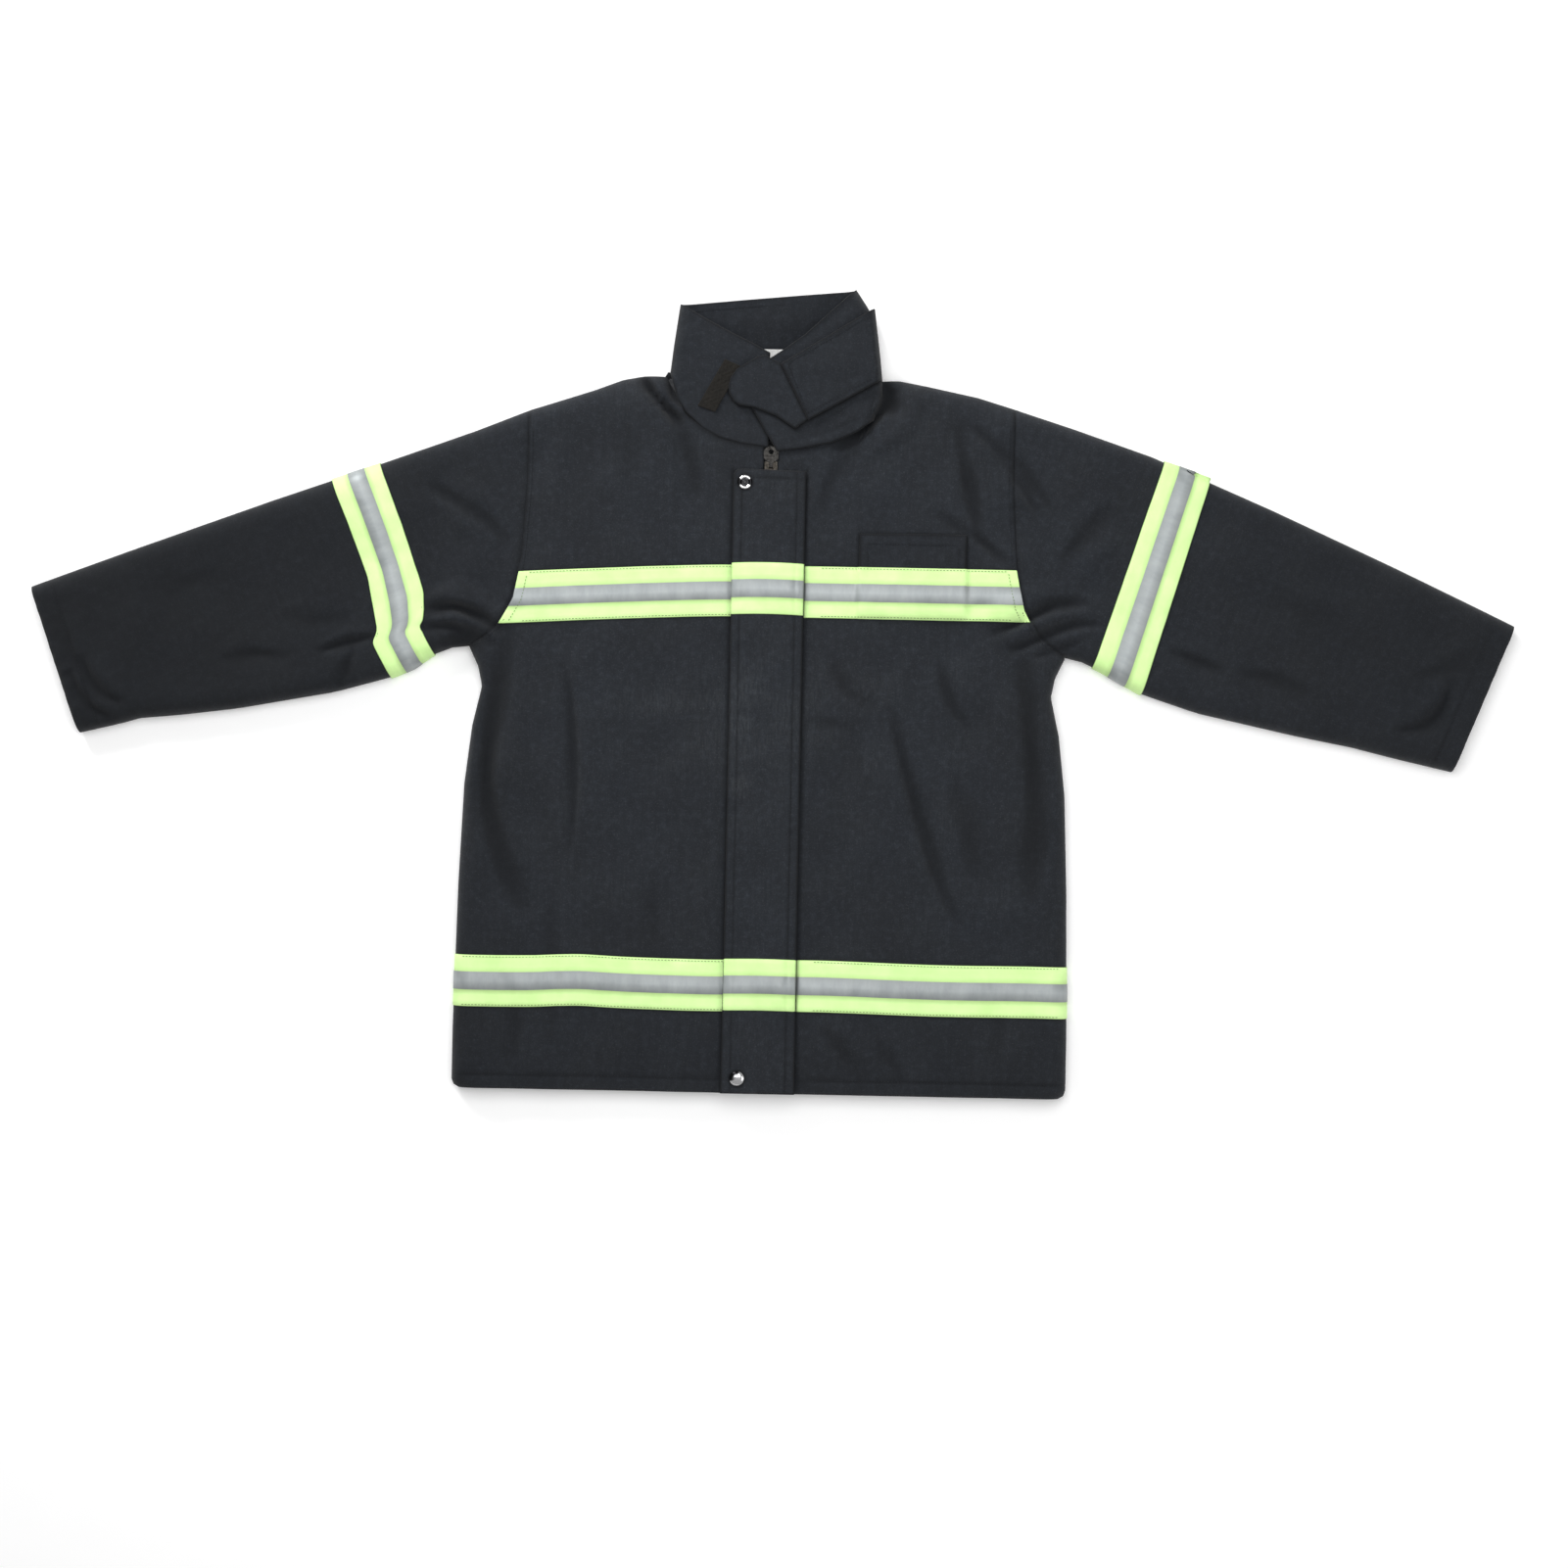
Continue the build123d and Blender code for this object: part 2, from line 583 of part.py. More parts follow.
def flap_profile():
    """The flap's section across the coat, in x and z."""
    free, sewn = (FLAP_FREE, FLAP_EDGE_Z), (FLAP_SEWN, FLAP_EDGE_Z)
    mouth = FLAP_CHANNEL + FLAP_CHANNEL_SLANT
    top = ThreePointArc(sewn, (0, FLAP_CROWN_Z), free)
    under = Polyline(
        free, (FLAP_FREE, FLAP_UNDER), (-mouth, FLAP_UNDER), (-FLAP_CHANNEL, FLAP_CHANNEL_Z),
        (FLAP_CHANNEL, FLAP_CHANNEL_Z), (mouth, FLAP_UNDER), (FLAP_SEWN, FLAP_UNDER), sewn,
    )
    return make_face(Curve() + [top, under])


def flap_run(low_y, high_y, lift=0.0):
    """The flap's section drawn out along the coat between two heights above the hem."""
    plane = Plane(origin=(0, high_y - COAT_LENGTH / 2, lift), x_dir=(1, 0, 0), z_dir=(0, -1, 0))
    return extrude(plane * flap_profile(), high_y - low_y)


def storm_flap():
    body = flap_run(0, FLAP_TOP_Y)
    for x, y in SNAPS:
        body -= snap_hole(x, y)
        body -= upright(x, y, SOCKET_R + FIT, FLAP_UNDER - PAST, SOCKET_TOP)
        body -= upright(x, y, SNAP_CAP_R + FIT, cap_seat(x), CUT_TOP)
    save("storm_flap", body)


def flap_tapes():
    tapes = []
    for low_y in (CHEST_TAPE_LOW, HEM_TAPE_LOW):
        high_y = low_y + TAPE_WIDTH
        below = slab(FLAP_FREE, FLAP_SEWN, low_y, high_y, 0, FLAP_EDGE_Z)
        tapes.append(flap_run(low_y, high_y, TAPE) - flap_run(low_y, high_y) - below)
    save("flap_tapes", tapes)


def snap_cap(x, y):
    seat = cap_seat(x)
    dome = upright(x, y, SNAP_CAP_R, seat, seat + SNAP_CAP_HIGH)
    dome = fillet(dome.edges().group_by(Axis.Z)[-1], SNAP_CAP_ROUND)
    return dome + upright(x, y, SNAP_POST_R, SOCKET_TOP, seat)


def snap_socket(x, y):
    base = FLAP_UNDER - FASTENER
    bore = upright(x, y, SOCKET_BORE_R, base - PAST, SOCKET_TOP - SOCKET_ROOF)
    return upright(x, y, SOCKET_R, base, SOCKET_TOP) - bore


def snap_stud(x, y):
    ball_round = 0.8
    flange_top = FRONT_TOP + FASTENER
    ball = upright(x, y, STUD_BALL_R, flange_top, FRONT_TOP + STUD_HIGH)
    ball = fillet(ball.edges().group_by(Axis.Z)[-1], ball_round)
    return upright(x, y, STUD_R, FRONT_TOP, flange_top) + ball


def snap_eyelet(x, y):
    stem = upright(x, y, SNAP_POST_R, FRONT_UNDER, FRONT_TOP)
    return upright(x, y, EYELET_R, FRONT_BARRIER_UNDER, FRONT_UNDER) + stem


def snaps():
    makers = {"caps": snap_cap, "sockets": snap_socket, "studs": snap_stud, "eyelets": snap_eyelet}
    for name, maker in makers.items():
        save(f"snap_{name}", [maker(x, y) for x, y in SNAPS])


def flap_fasteners():
    """Hook strip under the flap and loop strip on the right front, clear of tapes and snaps."""
    for name, base in (("flap_hook_strip", FLAP_UNDER - FASTENER), ("front_loop_strip", FRONT_TOP)):
        strips = [slab(*FASTENER_X, *run, base, base + FASTENER) for run in FASTENER_RUNS]
        save(name, strips)


back_panels()
front_sides()
front_edges()
side_tapes()
edge_tapes()
chest_pocket()
sleeves()
collar()
throat_tab()
throat_cover()
hanger_loop()
zip_rows()
zip_slider()
zip_pull()
storm_flap()
flap_tapes()
snaps()
flap_fasteners()
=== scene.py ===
import math

import bpy
import numpy as np
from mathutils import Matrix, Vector


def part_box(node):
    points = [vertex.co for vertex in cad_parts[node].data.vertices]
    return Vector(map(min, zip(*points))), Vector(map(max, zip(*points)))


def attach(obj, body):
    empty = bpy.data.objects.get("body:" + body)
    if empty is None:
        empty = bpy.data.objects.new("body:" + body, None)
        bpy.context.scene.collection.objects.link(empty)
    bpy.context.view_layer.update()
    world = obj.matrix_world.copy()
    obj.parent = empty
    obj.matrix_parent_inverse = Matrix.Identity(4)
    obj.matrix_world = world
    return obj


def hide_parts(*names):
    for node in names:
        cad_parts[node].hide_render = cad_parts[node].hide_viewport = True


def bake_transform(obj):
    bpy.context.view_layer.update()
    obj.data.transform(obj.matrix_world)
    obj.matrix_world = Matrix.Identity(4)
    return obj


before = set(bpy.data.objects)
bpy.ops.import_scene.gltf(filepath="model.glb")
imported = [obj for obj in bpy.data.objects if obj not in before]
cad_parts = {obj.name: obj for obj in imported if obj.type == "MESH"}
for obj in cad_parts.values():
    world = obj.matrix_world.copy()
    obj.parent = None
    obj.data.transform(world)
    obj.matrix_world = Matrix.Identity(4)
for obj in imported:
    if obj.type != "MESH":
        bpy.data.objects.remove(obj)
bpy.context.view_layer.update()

# Lengths are in millimetres, with y measured from the hem, until to_frame() puts them in the
# row frame in metres. +x is the wearer's left.

MM = 0.001


def low(node):
    return np.array(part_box(node)[0]) / MM


def high(node):
    return np.array(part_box(node)[1]) / MM


# ---- places read from the frame ------------------------------------------------------
HEM_Y = low("back_shell")[1]
HEM_HALF = high("back_shell")[0]
FRONT_Z = high("right_front_edge")[2]
SLIDER_CLEAR = 1.2
EDGE_X = high("zip_slider")[0] + SLIDER_CLEAR
FLAP_FREE = low("storm_flap")[0]
FLAP_SEWN = high("storm_flap")[0]
FLAP_TOP = high("storm_flap")[1] - HEM_Y
FLAP_LIFT = 0.2
FLAP_UNDER = low("storm_flap")[2] + FLAP_LIFT
FLAP_CROWN = high("storm_flap")[2]
TAPE_WIDE = 53.0
HEM_TAPE = low("right_edge_tapes")[1] - HEM_Y
CHEST_TAPE = high("right_edge_tapes")[1] - HEM_Y - TAPE_WIDE
POCKET_X = (low("chest_pocket")[0], high("chest_pocket")[0])
POCKET_Y = (low("chest_pocket")[1] - HEM_Y, high("chest_pocket")[1] - HEM_Y)

# ---- outlines, with 1 for the wearer's left and -1 for the right; x is outwards -------
ARMPIT = (306.0, 452.0)
HEM_CORNER = [(HEM_HALF - 7, 0), (HEM_HALF - 2.4, 2.4), (HEM_HALF, 8)]
SIDE_SEAM = HEM_CORNER + [(HEM_HALF, 60), (312, 211), (308, 311), (301, 371), (292, 411), (296, 431),
                          ARMPIT]
SHOULDER = {1: (248.0, 706.0), -1: (248.0, 695.0)}
SHOULDER_LINE = {
    1: [SHOULDER[1], (211, 717), (161, 727), (133, 732), (105, 734)],
    -1: [SHOULDER[-1], (212, 707), (182, 717), (153, 728), (133, 732), (105, 734)],
}
SLEEVE_LOW = {
    1: [ARMPIT, (323, 448), (343, 439), (383, 417), (442, 398), (542, 377), (602, 366), (644, 356),
        (704, 343)],
    -1: [ARMPIT, (323, 450), (343, 442), (363, 428), (383, 419), (442, 402), (542, 383), (602, 375),
         (642, 371), (662, 365), (703, 355)],
}
SLEEVE_TOP = {
    1: [SHOULDER[1], (312, 686), (390, 660), (514, 608), (640, 552), (765, 494)],
    -1: [SHOULDER[-1], (302, 673), (421, 629), (510, 597), (659, 541), (755, 504)],
}
NECK_CURVE = [(0, 661), (40, 666), (68, 677), (88, 692), (100, 714), (108, 731)]
BAND_INNER = {
    1: [(334, 444), (403, 655)],
    -1: [(341, 443), (356, 471), (351, 477), (352, 506), (376, 575), (400, 636)],
}
BAND_OUTER = {
    1: [(384, 417), (450, 638)],
    -1: [(386, 421), (403, 452), (398, 465), (409, 519), (431, 576), (449, 619)],
}
ELBOW = ((470.0, 401.0), (529.0, 587.0))

# the height where front and back meet, the radius of the rounding there, and how square it is
SEAM_Z = 8.0
EDGE_R = 17.0
EDGE_POWER = 2.4
CLOTH = 1.5
# the back's lowest height, and its neckline in the middle with its rise to the sides
BACK_BASE = 1.4
BACK_NECK = 729.0
BACK_NECK_RISE = 8.0
LINER_FLOOR = 8.0
QUILT_PITCH = 42.0
# from the flap's edge to its seam
FLAP_HEM = 9.0
COLLAR_SEAM_Y = 763.0
# the snaps at the flap's head and hem
SNAPS = ((-26.0, 624.0), (-22.0, 16.0))
SNAP_R = 7.5
# the sleeve's own direction for its weave, and its rounded angle for small offsets along it
CUFF_DROP = (509.0, -189.0)
SLEEVE_SLOPE = 0.35


# ---- number helpers ------------------------------------------------------------------
def to_frame(points):
    """Points in millimetres with y from the hem, as metres in the row frame."""
    out = np.array(points, float)
    out[..., 1] += HEM_Y
    return out * MM


def smoothstep(t):
    t = np.clip(t, 0, 1)
    return t * t * (3 - 2 * t)


def bell(away, wide):
    """1 where a distance is 0, and about a third where it is that wide."""
    return np.exp(-(away / wide) ** 2)


def quarter_round(away, radius):
    """0 on an edge, rising like a quarter circle to 1 at the radius and beyond."""
    t = np.clip(away / radius, 0, 1)
    return np.sqrt(np.maximum(1 - (1 - t) ** 2, 0))


def resample(line, shares):
    """Points at those shares of a polyline's length."""
    line = np.array(line, float)
    reach = np.concatenate([[0], np.cumsum(np.linalg.norm(np.diff(line, axis=0), axis=1))])
    return np.stack([np.interp(np.array(shares) * reach[-1], reach, line[:, k])
                     for k in range(line.shape[1])], axis=-1)


def smooth_line(line, count, rounds=3):
    """A polyline resampled evenly, with its corners rounded and its ends kept."""
    points = resample(line, np.linspace(0, 1, count))
    for _ in range(rounds):
        points[1:-1] = (points[:-2] + 2 * points[1:-1] + points[2:]) / 4
    return points


def near_line(x, y, line):
    """Signed distance to a polyline, positive on its left, and the share of its length there."""
    line = np.array(line, float)
    steps = np.linalg.norm(np.diff(line, axis=0), axis=1)
    reach = np.concatenate([[0], np.cumsum(steps)])
    best = np.full(x.shape, 1e9)
    share = np.zeros(x.shape)
    for a, b, length, start in zip(line[:-1], line[1:], steps, reach):
        dx, dy = (b - a) / length
        t = np.clip((x - a[0]) * dx + (y - a[1]) * dy, 0, length)
        away = np.hypot(x - a[0] - t * dx, y - a[1] - t * dy)
        side = np.sign(dx * (y - a[1]) - dy * (x - a[0]))
        closer = away < np.abs(best)
        best = np.where(closer, np.where(side < 0, -away, away), best)
        share = np.where(closer, (start + t) / reach[-1], share)
    return best, share


def waves(x, y, length, seed, count=7):
    """Smooth repeatable unevenness of about -1 to 1, with waves of about that length."""
    dice = np.random.default_rng(seed)
    total = np.zeros(np.shape(x))
    for _ in range(count):
        turn = dice.uniform(0, math.pi)
        wave = length * dice.uniform(0.7, 1.5)
        phase = dice.uniform(0, 2 * math.pi)
        total = total + np.sin((x * math.cos(turn) + y * math.sin(turn)) * 2 * math.pi / wave + phase)
    return total / math.sqrt(count)


def flip(line, side):
    """A line of the wearer's left half, for that side."""
    return [(side * p[0], p[1]) for p in line]


def armhole(side):
    return [ARMPIT, (280, 468), (262, 500), (253, 545), (248, 620), SHOULDER[side]]


CLOSED_EDGES = [flip(line, side) for side in (1, -1)
                for line in (SIDE_SEAM + SLEEVE_LOW[side][1:], SLEEVE_TOP[side], SHOULDER_LINE[side])]


def edge_distance(x, y):
    return np.min([np.abs(near_line(x, y, line)[0]) for line in CLOSED_EDGES], axis=0)


def edge_rise(x, y, radius=EDGE_R):
    """0 on the coat's outline and 1 from the rounding's radius inwards."""
    t = np.clip(edge_distance(x, y) / radius, 0, 1)
    return (1 - (1 - t) ** EDGE_POWER) ** (1 / EDGE_POWER)


# ---- the front's relief: folds, creases, seams and puckers ---------------------------
# each fold is its line, its half-width, its height, and how far it leans over to one side
FOLDS = [
    # beside the collar, the wearer's right then left
    ([(-134, 738), (-121, 714), (-106, 697), (-88, 684)], 4.5, -6.5, 0.9),
    ([(-106, 738), (-103, 718), (-94, 698)], 4, -5.0, 0.3),
    ([(-104, 700), (-88, 672), (-76, 640), (-70, 606)], 8, -2.2, 0.6),
    ([(-140, 722), (-124, 696), (-108, 676), (-98, 640), (-94, 600)], 11, 2.6, 0.4),
    ([(108, 742), (116, 711), (106, 693), (84, 675), (60, 660)], 5, -6.0, -0.9),
    ([(122, 726), (124, 706), (116, 694)], 8, -4.5, 0.0),
    ([(142, 726), (146, 702), (130, 680), (96, 656)], 10, 3.4, -0.3),
    ([(96, 668), (70, 648), (56, 622), (52, 590)], 8, -1.8, -0.5),
    # the wearer's left shoulder
    ([(188, 690), (196, 650), (201, 610), (212, 572), (240, 542)], 7, -2.6, -0.8),
    ([(200, 690), (228, 662), (252, 628), (276, 592)], 7, -3.2, -0.8),
    ([(215, 676), (246, 640), (262, 600)], 10, 2.2, 0.2),
    ([(160, 690), (172, 640), (180, 590)], 16, 1.4, 0.2),
    # the wearer's right shoulder
    ([(-198, 700), (-214, 650), (-226, 600), (-228, 556)], 13, 1.5, 0.3),
    ([(-352, 620), (-318, 600), (-286, 582), (-262, 556)], 8, -2.6, 0.8),
    ([(-360, 604), (-326, 588), (-292, 566)], 11, 1.8, 0.0),
    # armpits
    ([(-352, 488), (-322, 495), (-292, 484), (-268, 466)], 6, -5.0, 0.9),
    ([(-354, 470), (-326, 474), (-300, 468), (-276, 452)], 6, -3.6, 0.9),
    ([(-350, 502), (-318, 507), (-282, 500)], 9, 3.0, 0.0),
    ([(-335, 456), (-308, 458), (-286, 446)], 6, -2.8, 0.5),
    ([(226, 470), (256, 484), (292, 502), (330, 506)], 6, -4.6, -0.9),
    ([(240, 452), (272, 466), (304, 482), (344, 486)], 6, -3.8, -0.8),
    ([(214, 486), (246, 506), (286, 522)], 10, 2.4, 0.0),
    ([(270, 450), (296, 462), (322, 468)], 5, -2.8, 0.0),
    # the side's roll, from the armpit down
    ([(-268, 474), (-272, 430), (-281, 372), (-288, 314), (-282, 262), (-264, 214), (-244, 176)],
     11, -6.0, -0.7),
    ([(-258, 470), (-252, 410), (-256, 350), (-258, 290), (-246, 226)], 17, 2.6, 0.0),
    ([(262, 470), (270, 420), (276, 350), (284, 280), (276, 200)], 12, -5.0, 0.7),
    ([(246, 460), (246, 400), (254, 320), (258, 250)], 17, 2.2, 0.0),
    # creases in the body
    ([(-206, 440), (-198, 402), (-193, 352), (-191, 300), (-196, 238)], 5.5, -2.8, 0.9),
    ([(-184, 430), (-178, 360), (-178, 290), (-186, 226)], 13, 1.6, 0.0),
    ([(-212, 214), (-209, 150), (-207, 84), (-210, 40)], 7, -1.2, 0.7),
    ([(-112, 230), (-108, 170), (-112, 110)], 10, -0.9, 0.4),
    ([(124, 400), (134, 360), (146, 318), (160, 268), (180, 210), (204, 168)], 7, -3.6, -0.9),
    ([(108, 380), (122, 330), (136, 280), (152, 226)], 14, 2.2, 0.0),
    ([(174, 446), (180, 420), (188, 396), (210, 372)], 6, -2.6, -0.8),
    ([(196, 452), (206, 420), (222, 392)], 9, 1.8, 0.0),
    ([(62, 452), (72, 424), (88, 404), (112, 392)], 8, -1.9, -0.6),
    ([(150, 462), (140, 430), (126, 402)], 9, 1.4, 0.0),
    ([(40, 383), (64, 381), (92, 376)], 6, -1.2, 0.5),
    ([(190, 330), (206, 280), (214, 220)], 12, -1.8, -0.5),
    ([(60, 70), (84, 42), (108, 14)], 7, -1.6, -0.7),
    ([(118, 60), (140, 34), (150, 8)], 7, -1.3, 0.5),
    ([(-262, 120), (-246, 74), (-252, 22)], 10, -1.6, 0.4),
    ([(232, 140), (244, 84), (238, 30)], 10, -1.6, -0.4),
    ([(-166, 640), (-150, 600), (-146, 560)], 14, 1.1, 0.2),
    # forearms: the elbow, the crumpled cuff corner and long soft folds
    ([(-460, 442), (-438, 452), (-412, 458), (-398, 462)], 5, -2.8, 0.8),
    ([(-440, 408), (-430, 428), (-422, 448)], 5, -2.4, 0.6),
    ([(-560, 432), (-520, 440), (-486, 436)], 7, -1.8, 0.5),
    ([(-500, 480), (-460, 474), (-424, 476)], 9, -1.3, 0.3),
    ([(-700, 436), (-690, 412), (-676, 394), (-654, 386)], 6, -3.4, 0.8),
    ([(-712, 420), (-700, 394), (-686, 378), (-664, 372)], 5, -3.0, 0.6),
    ([(-730, 480), (-716, 446), (-700, 410)], 8, -1.6, 0.4),
    ([(-640, 500), (-600, 508), (-548, 522)], 13, -1.2, 0.3),
    ([(700, 440), (690, 410), (672, 390), (640, 384)], 7, -3.2, -0.8),
    ([(724, 470), (700, 450), (660, 440)], 9, -1.8, -0.4),
    ([(600, 500), (560, 500), (510, 520)], 13, -1.4, -0.3),
    ([(470, 440), (444, 452), (410, 462)], 6, -2.6, -0.8),
    ([(560, 420), (520, 436), (480, 440)], 8, -2.0, -0.5),
    ([(350, 610), (320, 580), (296, 548)], 9, -2.2, -0.6),
    ([(362, 580), (336, 556), (310, 520)], 10, 1.8, 0.0),
    # the shoulder over the pocket
    ([(160, 602), (190, 586), (222, 566), (252, 544)], 5, -2.2, 0.6),
    ([(196, 652), (210, 620), (216, 584)], 7, -1.6, 0.4),
    ([(252, 658), (270, 630), (292, 600)], 6, -2.2, 0.5),
    ([(-150, 690), (-142, 640), (-160, 590)], 12, -1.0, 0.3),
]

# a fold's depth, how much its width varies along it, and how far out it reaches, in widths
FOLD_DEPTH = 1.7
FOLD_WOBBLE = 0.22
FOLD_REACH = 4
HEM_STITCH = 15.0
CUFF_STITCH = 22.0
# a sewn groove's depth and half-width
GROOVE_DEPTH = 0.7
GROOVE_WIDE = 2.2
# how far the open edges sink, and how far in that reaches
HEM_DROOP = 4.0
CUFF_DROOP = 3.0
DROOP_REACH = 9


def cuff_distance(x, y):
    ends = [flip([SLEEVE_LOW[side][-1], SLEEVE_TOP[side][-1]], side) for side in (1, -1)]
    return np.min([np.abs(near_line(x, y, line)[0]) for line in ends], axis=0)


def fold_relief(x, y):
    total = np.zeros(x.shape)
    for line, wide, tall, lean in FOLDS:
        curve = smooth_line(line, 16)
        reach = FOLD_REACH * wide
        lo, hi = curve.min(0) - reach, curve.max(0) + reach
        inside = (x > lo[0]) & (x < hi[0]) & (y > lo[1]) & (y < hi[1])
        if not inside.any():
            continue
        away, share = near_line(x[inside], y[inside], curve)
        wobble = 1 + FOLD_WOBBLE * np.sin(share * 9 + tall)
        t = away / (wide * wobble)
        shape = np.exp(-t * t) - lean * t * np.exp(-t * t * 0.6)
        total[inside] += FOLD_DEPTH * tall * shape * np.sin(np.pi * np.clip(share, 0, 1)) ** 0.7
    return total


def pucker(x, y, line, reach, height, length, seed):
    """The small gathers that a sewn line pulls into the cloth beside it."""
    away, share = near_line(x, y, line)
    total = float(np.sum(np.linalg.norm(np.diff(np.array(line), axis=0), axis=1)))
    along = share * total
    gather = waves(along, away * 0.35, length, seed, 5)
    return bell(away, reach) * gather * height - GROOVE_DEPTH * bell(away, GROOVE_WIDE)


def seam_relief(x, y):
    total = np.zeros(x.shape)
    for side in (1, -1):
        total += pucker(x, y, smooth_line(flip(armhole(side), side), 24), 9, 0.45, 17, 11 + side)
        for edge in (BAND_INNER[side], BAND_OUTER[side]):
            away = near_line(x, y, flip(edge, side))[0]
            total += 0.35 * waves(x, y, 20, 15 + side) * bell(away, 9)
    total += pucker(x, y, [(-HEM_HALF, HEM_STITCH), (HEM_HALF, HEM_STITCH)], 8, 0.4, 15, 21)
    cuff = cuff_distance(x, y)
    total += -GROOVE_DEPTH * bell(cuff - CUFF_STITCH, GROOVE_WIDE)
    total += 0.5 * waves(x, y, 15, 31) * bell(cuff, 18)
    for edge in (CHEST_TAPE, CHEST_TAPE + TAPE_WIDE, HEM_TAPE, HEM_TAPE + TAPE_WIDE):
        total += 0.3 * waves(x, y * 0.3, 24, int(edge)) * bell(y - edge, 9)
    return total


def droop(x, y):
    """Open edges sink a little."""
    hem = np.exp(-np.clip(y, 0, None) / DROOP_REACH)
    return -HEM_DROOP * hem - CUFF_DROOP * np.exp(-cuff_distance(x, y) / DROOP_REACH)


DRAPE = {"grid": None}
# the simulated sheet's extent, its cells, how long it settles, how far it may sink and how much
# larger it is than its outline, and the share of the result that is used
DRAPE_X = (-780, 781)
DRAPE_Y = (0, 745)
DRAPE_STEP = 9.0
DRAPE_FRAMES = 36
DRAPE_DROP = 7.0
DRAPE_GROW = 0.012
DRAPE_SHARE = 0.75
# the sheet is held this far to each side of the zip, and the table (in metres) is this large
ZIP_HALF = 16
TABLE_HALF = 0.9


def drape_relief(x, y):
    """What the cloth simulation adds, read from its raster."""
    if DRAPE["grid"] is None:
        return np.zeros(np.shape(x))
    grid, x0, y0, step = DRAPE["grid"]
    gx = np.clip((x - x0) / step, 0, grid.shape[1] - 1.001)
    gy = np.clip((y - y0) / step, 0, grid.shape[0] - 1.001)
    ix, iy = gx.astype(int), gy.astype(int)
    fx, fy = gx - ix, gy - iy
    near = grid[iy, ix] * (1 - fx) + grid[iy, ix + 1] * fx
    far = grid[iy + 1, ix] * (1 - fx) + grid[iy + 1, ix + 1] * fx
    return (near * (1 - fy) + far * fy) * smoothstep((edge_distance(x, y) - 8) / 20)


def silhouette():
    """The coat's whole outline, closed across the neck."""
    half = {side: SIDE_SEAM + SLEEVE_LOW[side][1:] + SLEEVE_TOP[side][::-1] + SHOULDER_LINE[side][1:]
            for side in (1, -1)}
    return flip(half[1], 1) + flip(half[-1], -1)[::-1]


def is_inside(x, y, outline):
    """Whether each place is inside a closed outline, by counting crossings."""
    found = np.zeros(x.shape, bool)
    for (x0, y0), (x1, y1) in zip(outline, outline[1:] + outline[:1]):
        if y0 != y1:
            found ^= ((y0 > y) != (y1 > y)) & (x < x0 + (y - y0) * (x1 - x0) / (y1 - y0))
    return found


def spread_out(raster, rounds=6):
    """Fills the cells past a raster's border from their neighbours."""
    for _ in range(rounds):
        near = np.stack([np.roll(raster, shift, axis) for shift in (1, -1) for axis in (0, 1)])
        known = ~np.isnan(near)
        mean = np.where(known, near, 0).sum(axis=0) / np.maximum(known.sum(axis=0), 1)
        raster = np.where(np.isnan(raster) & known.any(axis=0), mean, raster)
    return np.nan_to_num(raster)


def softened(raster):
    """A raster smoothed over its next cells."""
    for axis in (0, 1):
        raster = (np.roll(raster, 1, axis) + 2 * raster + np.roll(raster, -1, axis)) / 4
    return raster


def drape_cells(x, y):
    """The grid's cells that lie wholly inside the coat: the points they use, and their faces."""
    used = is_inside(x, y, silhouette())
    keep = used[:-1, :-1] & used[1:, :-1] & used[:-1, 1:] & used[1:, 1:]
    faces = [face for face, kept in zip(grid_faces(*x.shape), keep.ravel()) if kept]
    place = np.zeros(x.size, int) - 1
    corners = np.unique(np.array(faces))
    place[corners] = np.arange(len(corners))
    return corners, [tuple(place[list(face)]) for face in faces]


def hold_edges(cloth_object, start):
    """Pins the sheet round its border and at the zip."""
    held = cloth_object.vertex_groups.new(name="held")
    away = edge_distance(start[:, 0], start[:, 1])
    for side in (1, -1):
        away = np.minimum(away, np.abs(near_line(start[:, 0], start[:, 1], flip(NECK_CURVE, side))[0]))
    for index in np.flatnonzero((away < 1.6 * DRAPE_STEP) | (np.abs(start[:, 0]) < ZIP_HALF)):
        held.add([int(index)], 1.0, "REPLACE")


def make_cloth(cloth_object):
    cloth = cloth_object.modifiers.new("cloth", "CLOTH")
    settings = cloth.settings
    settings.quality = 6
    settings.mass = 0.35
    settings.tension_stiffness = settings.compression_stiffness = 25
    settings.shear_stiffness = 12
    settings.bending_stiffness = 5.0
    settings.vertex_group_mass = "held"
    settings.shrink_min = -DRAPE_GROW
    cloth.collision_settings.collision_quality = 3
    cloth.collision_settings.distance_min = 0.002
    cloth.point_cache.frame_end = DRAPE_FRAMES


def drape_table():
    """The level that the sheet can't sink below."""
    table = plain_object("drape_table", square(TABLE_HALF, -DRAPE_DROP * MM), [(0, 1, 2, 3)])
    table.modifiers.new("collide", "COLLISION")
    table.collision.thickness_outer = 0.001
    table.collision.thickness_inner = 0.01
    return table


def settled_heights(cloth_object, count):
    for step in range(1, DRAPE_FRAMES + 1):
        bpy.context.scene.frame_set(step)
    result = cloth_object.evaluated_get(bpy.context.evaluated_depsgraph_get())
    settled = np.zeros(count * 3, np.float32)
    result.data.vertices.foreach_get("co", settled)
    return settled.reshape(-1, 3)[:, 2] / MM


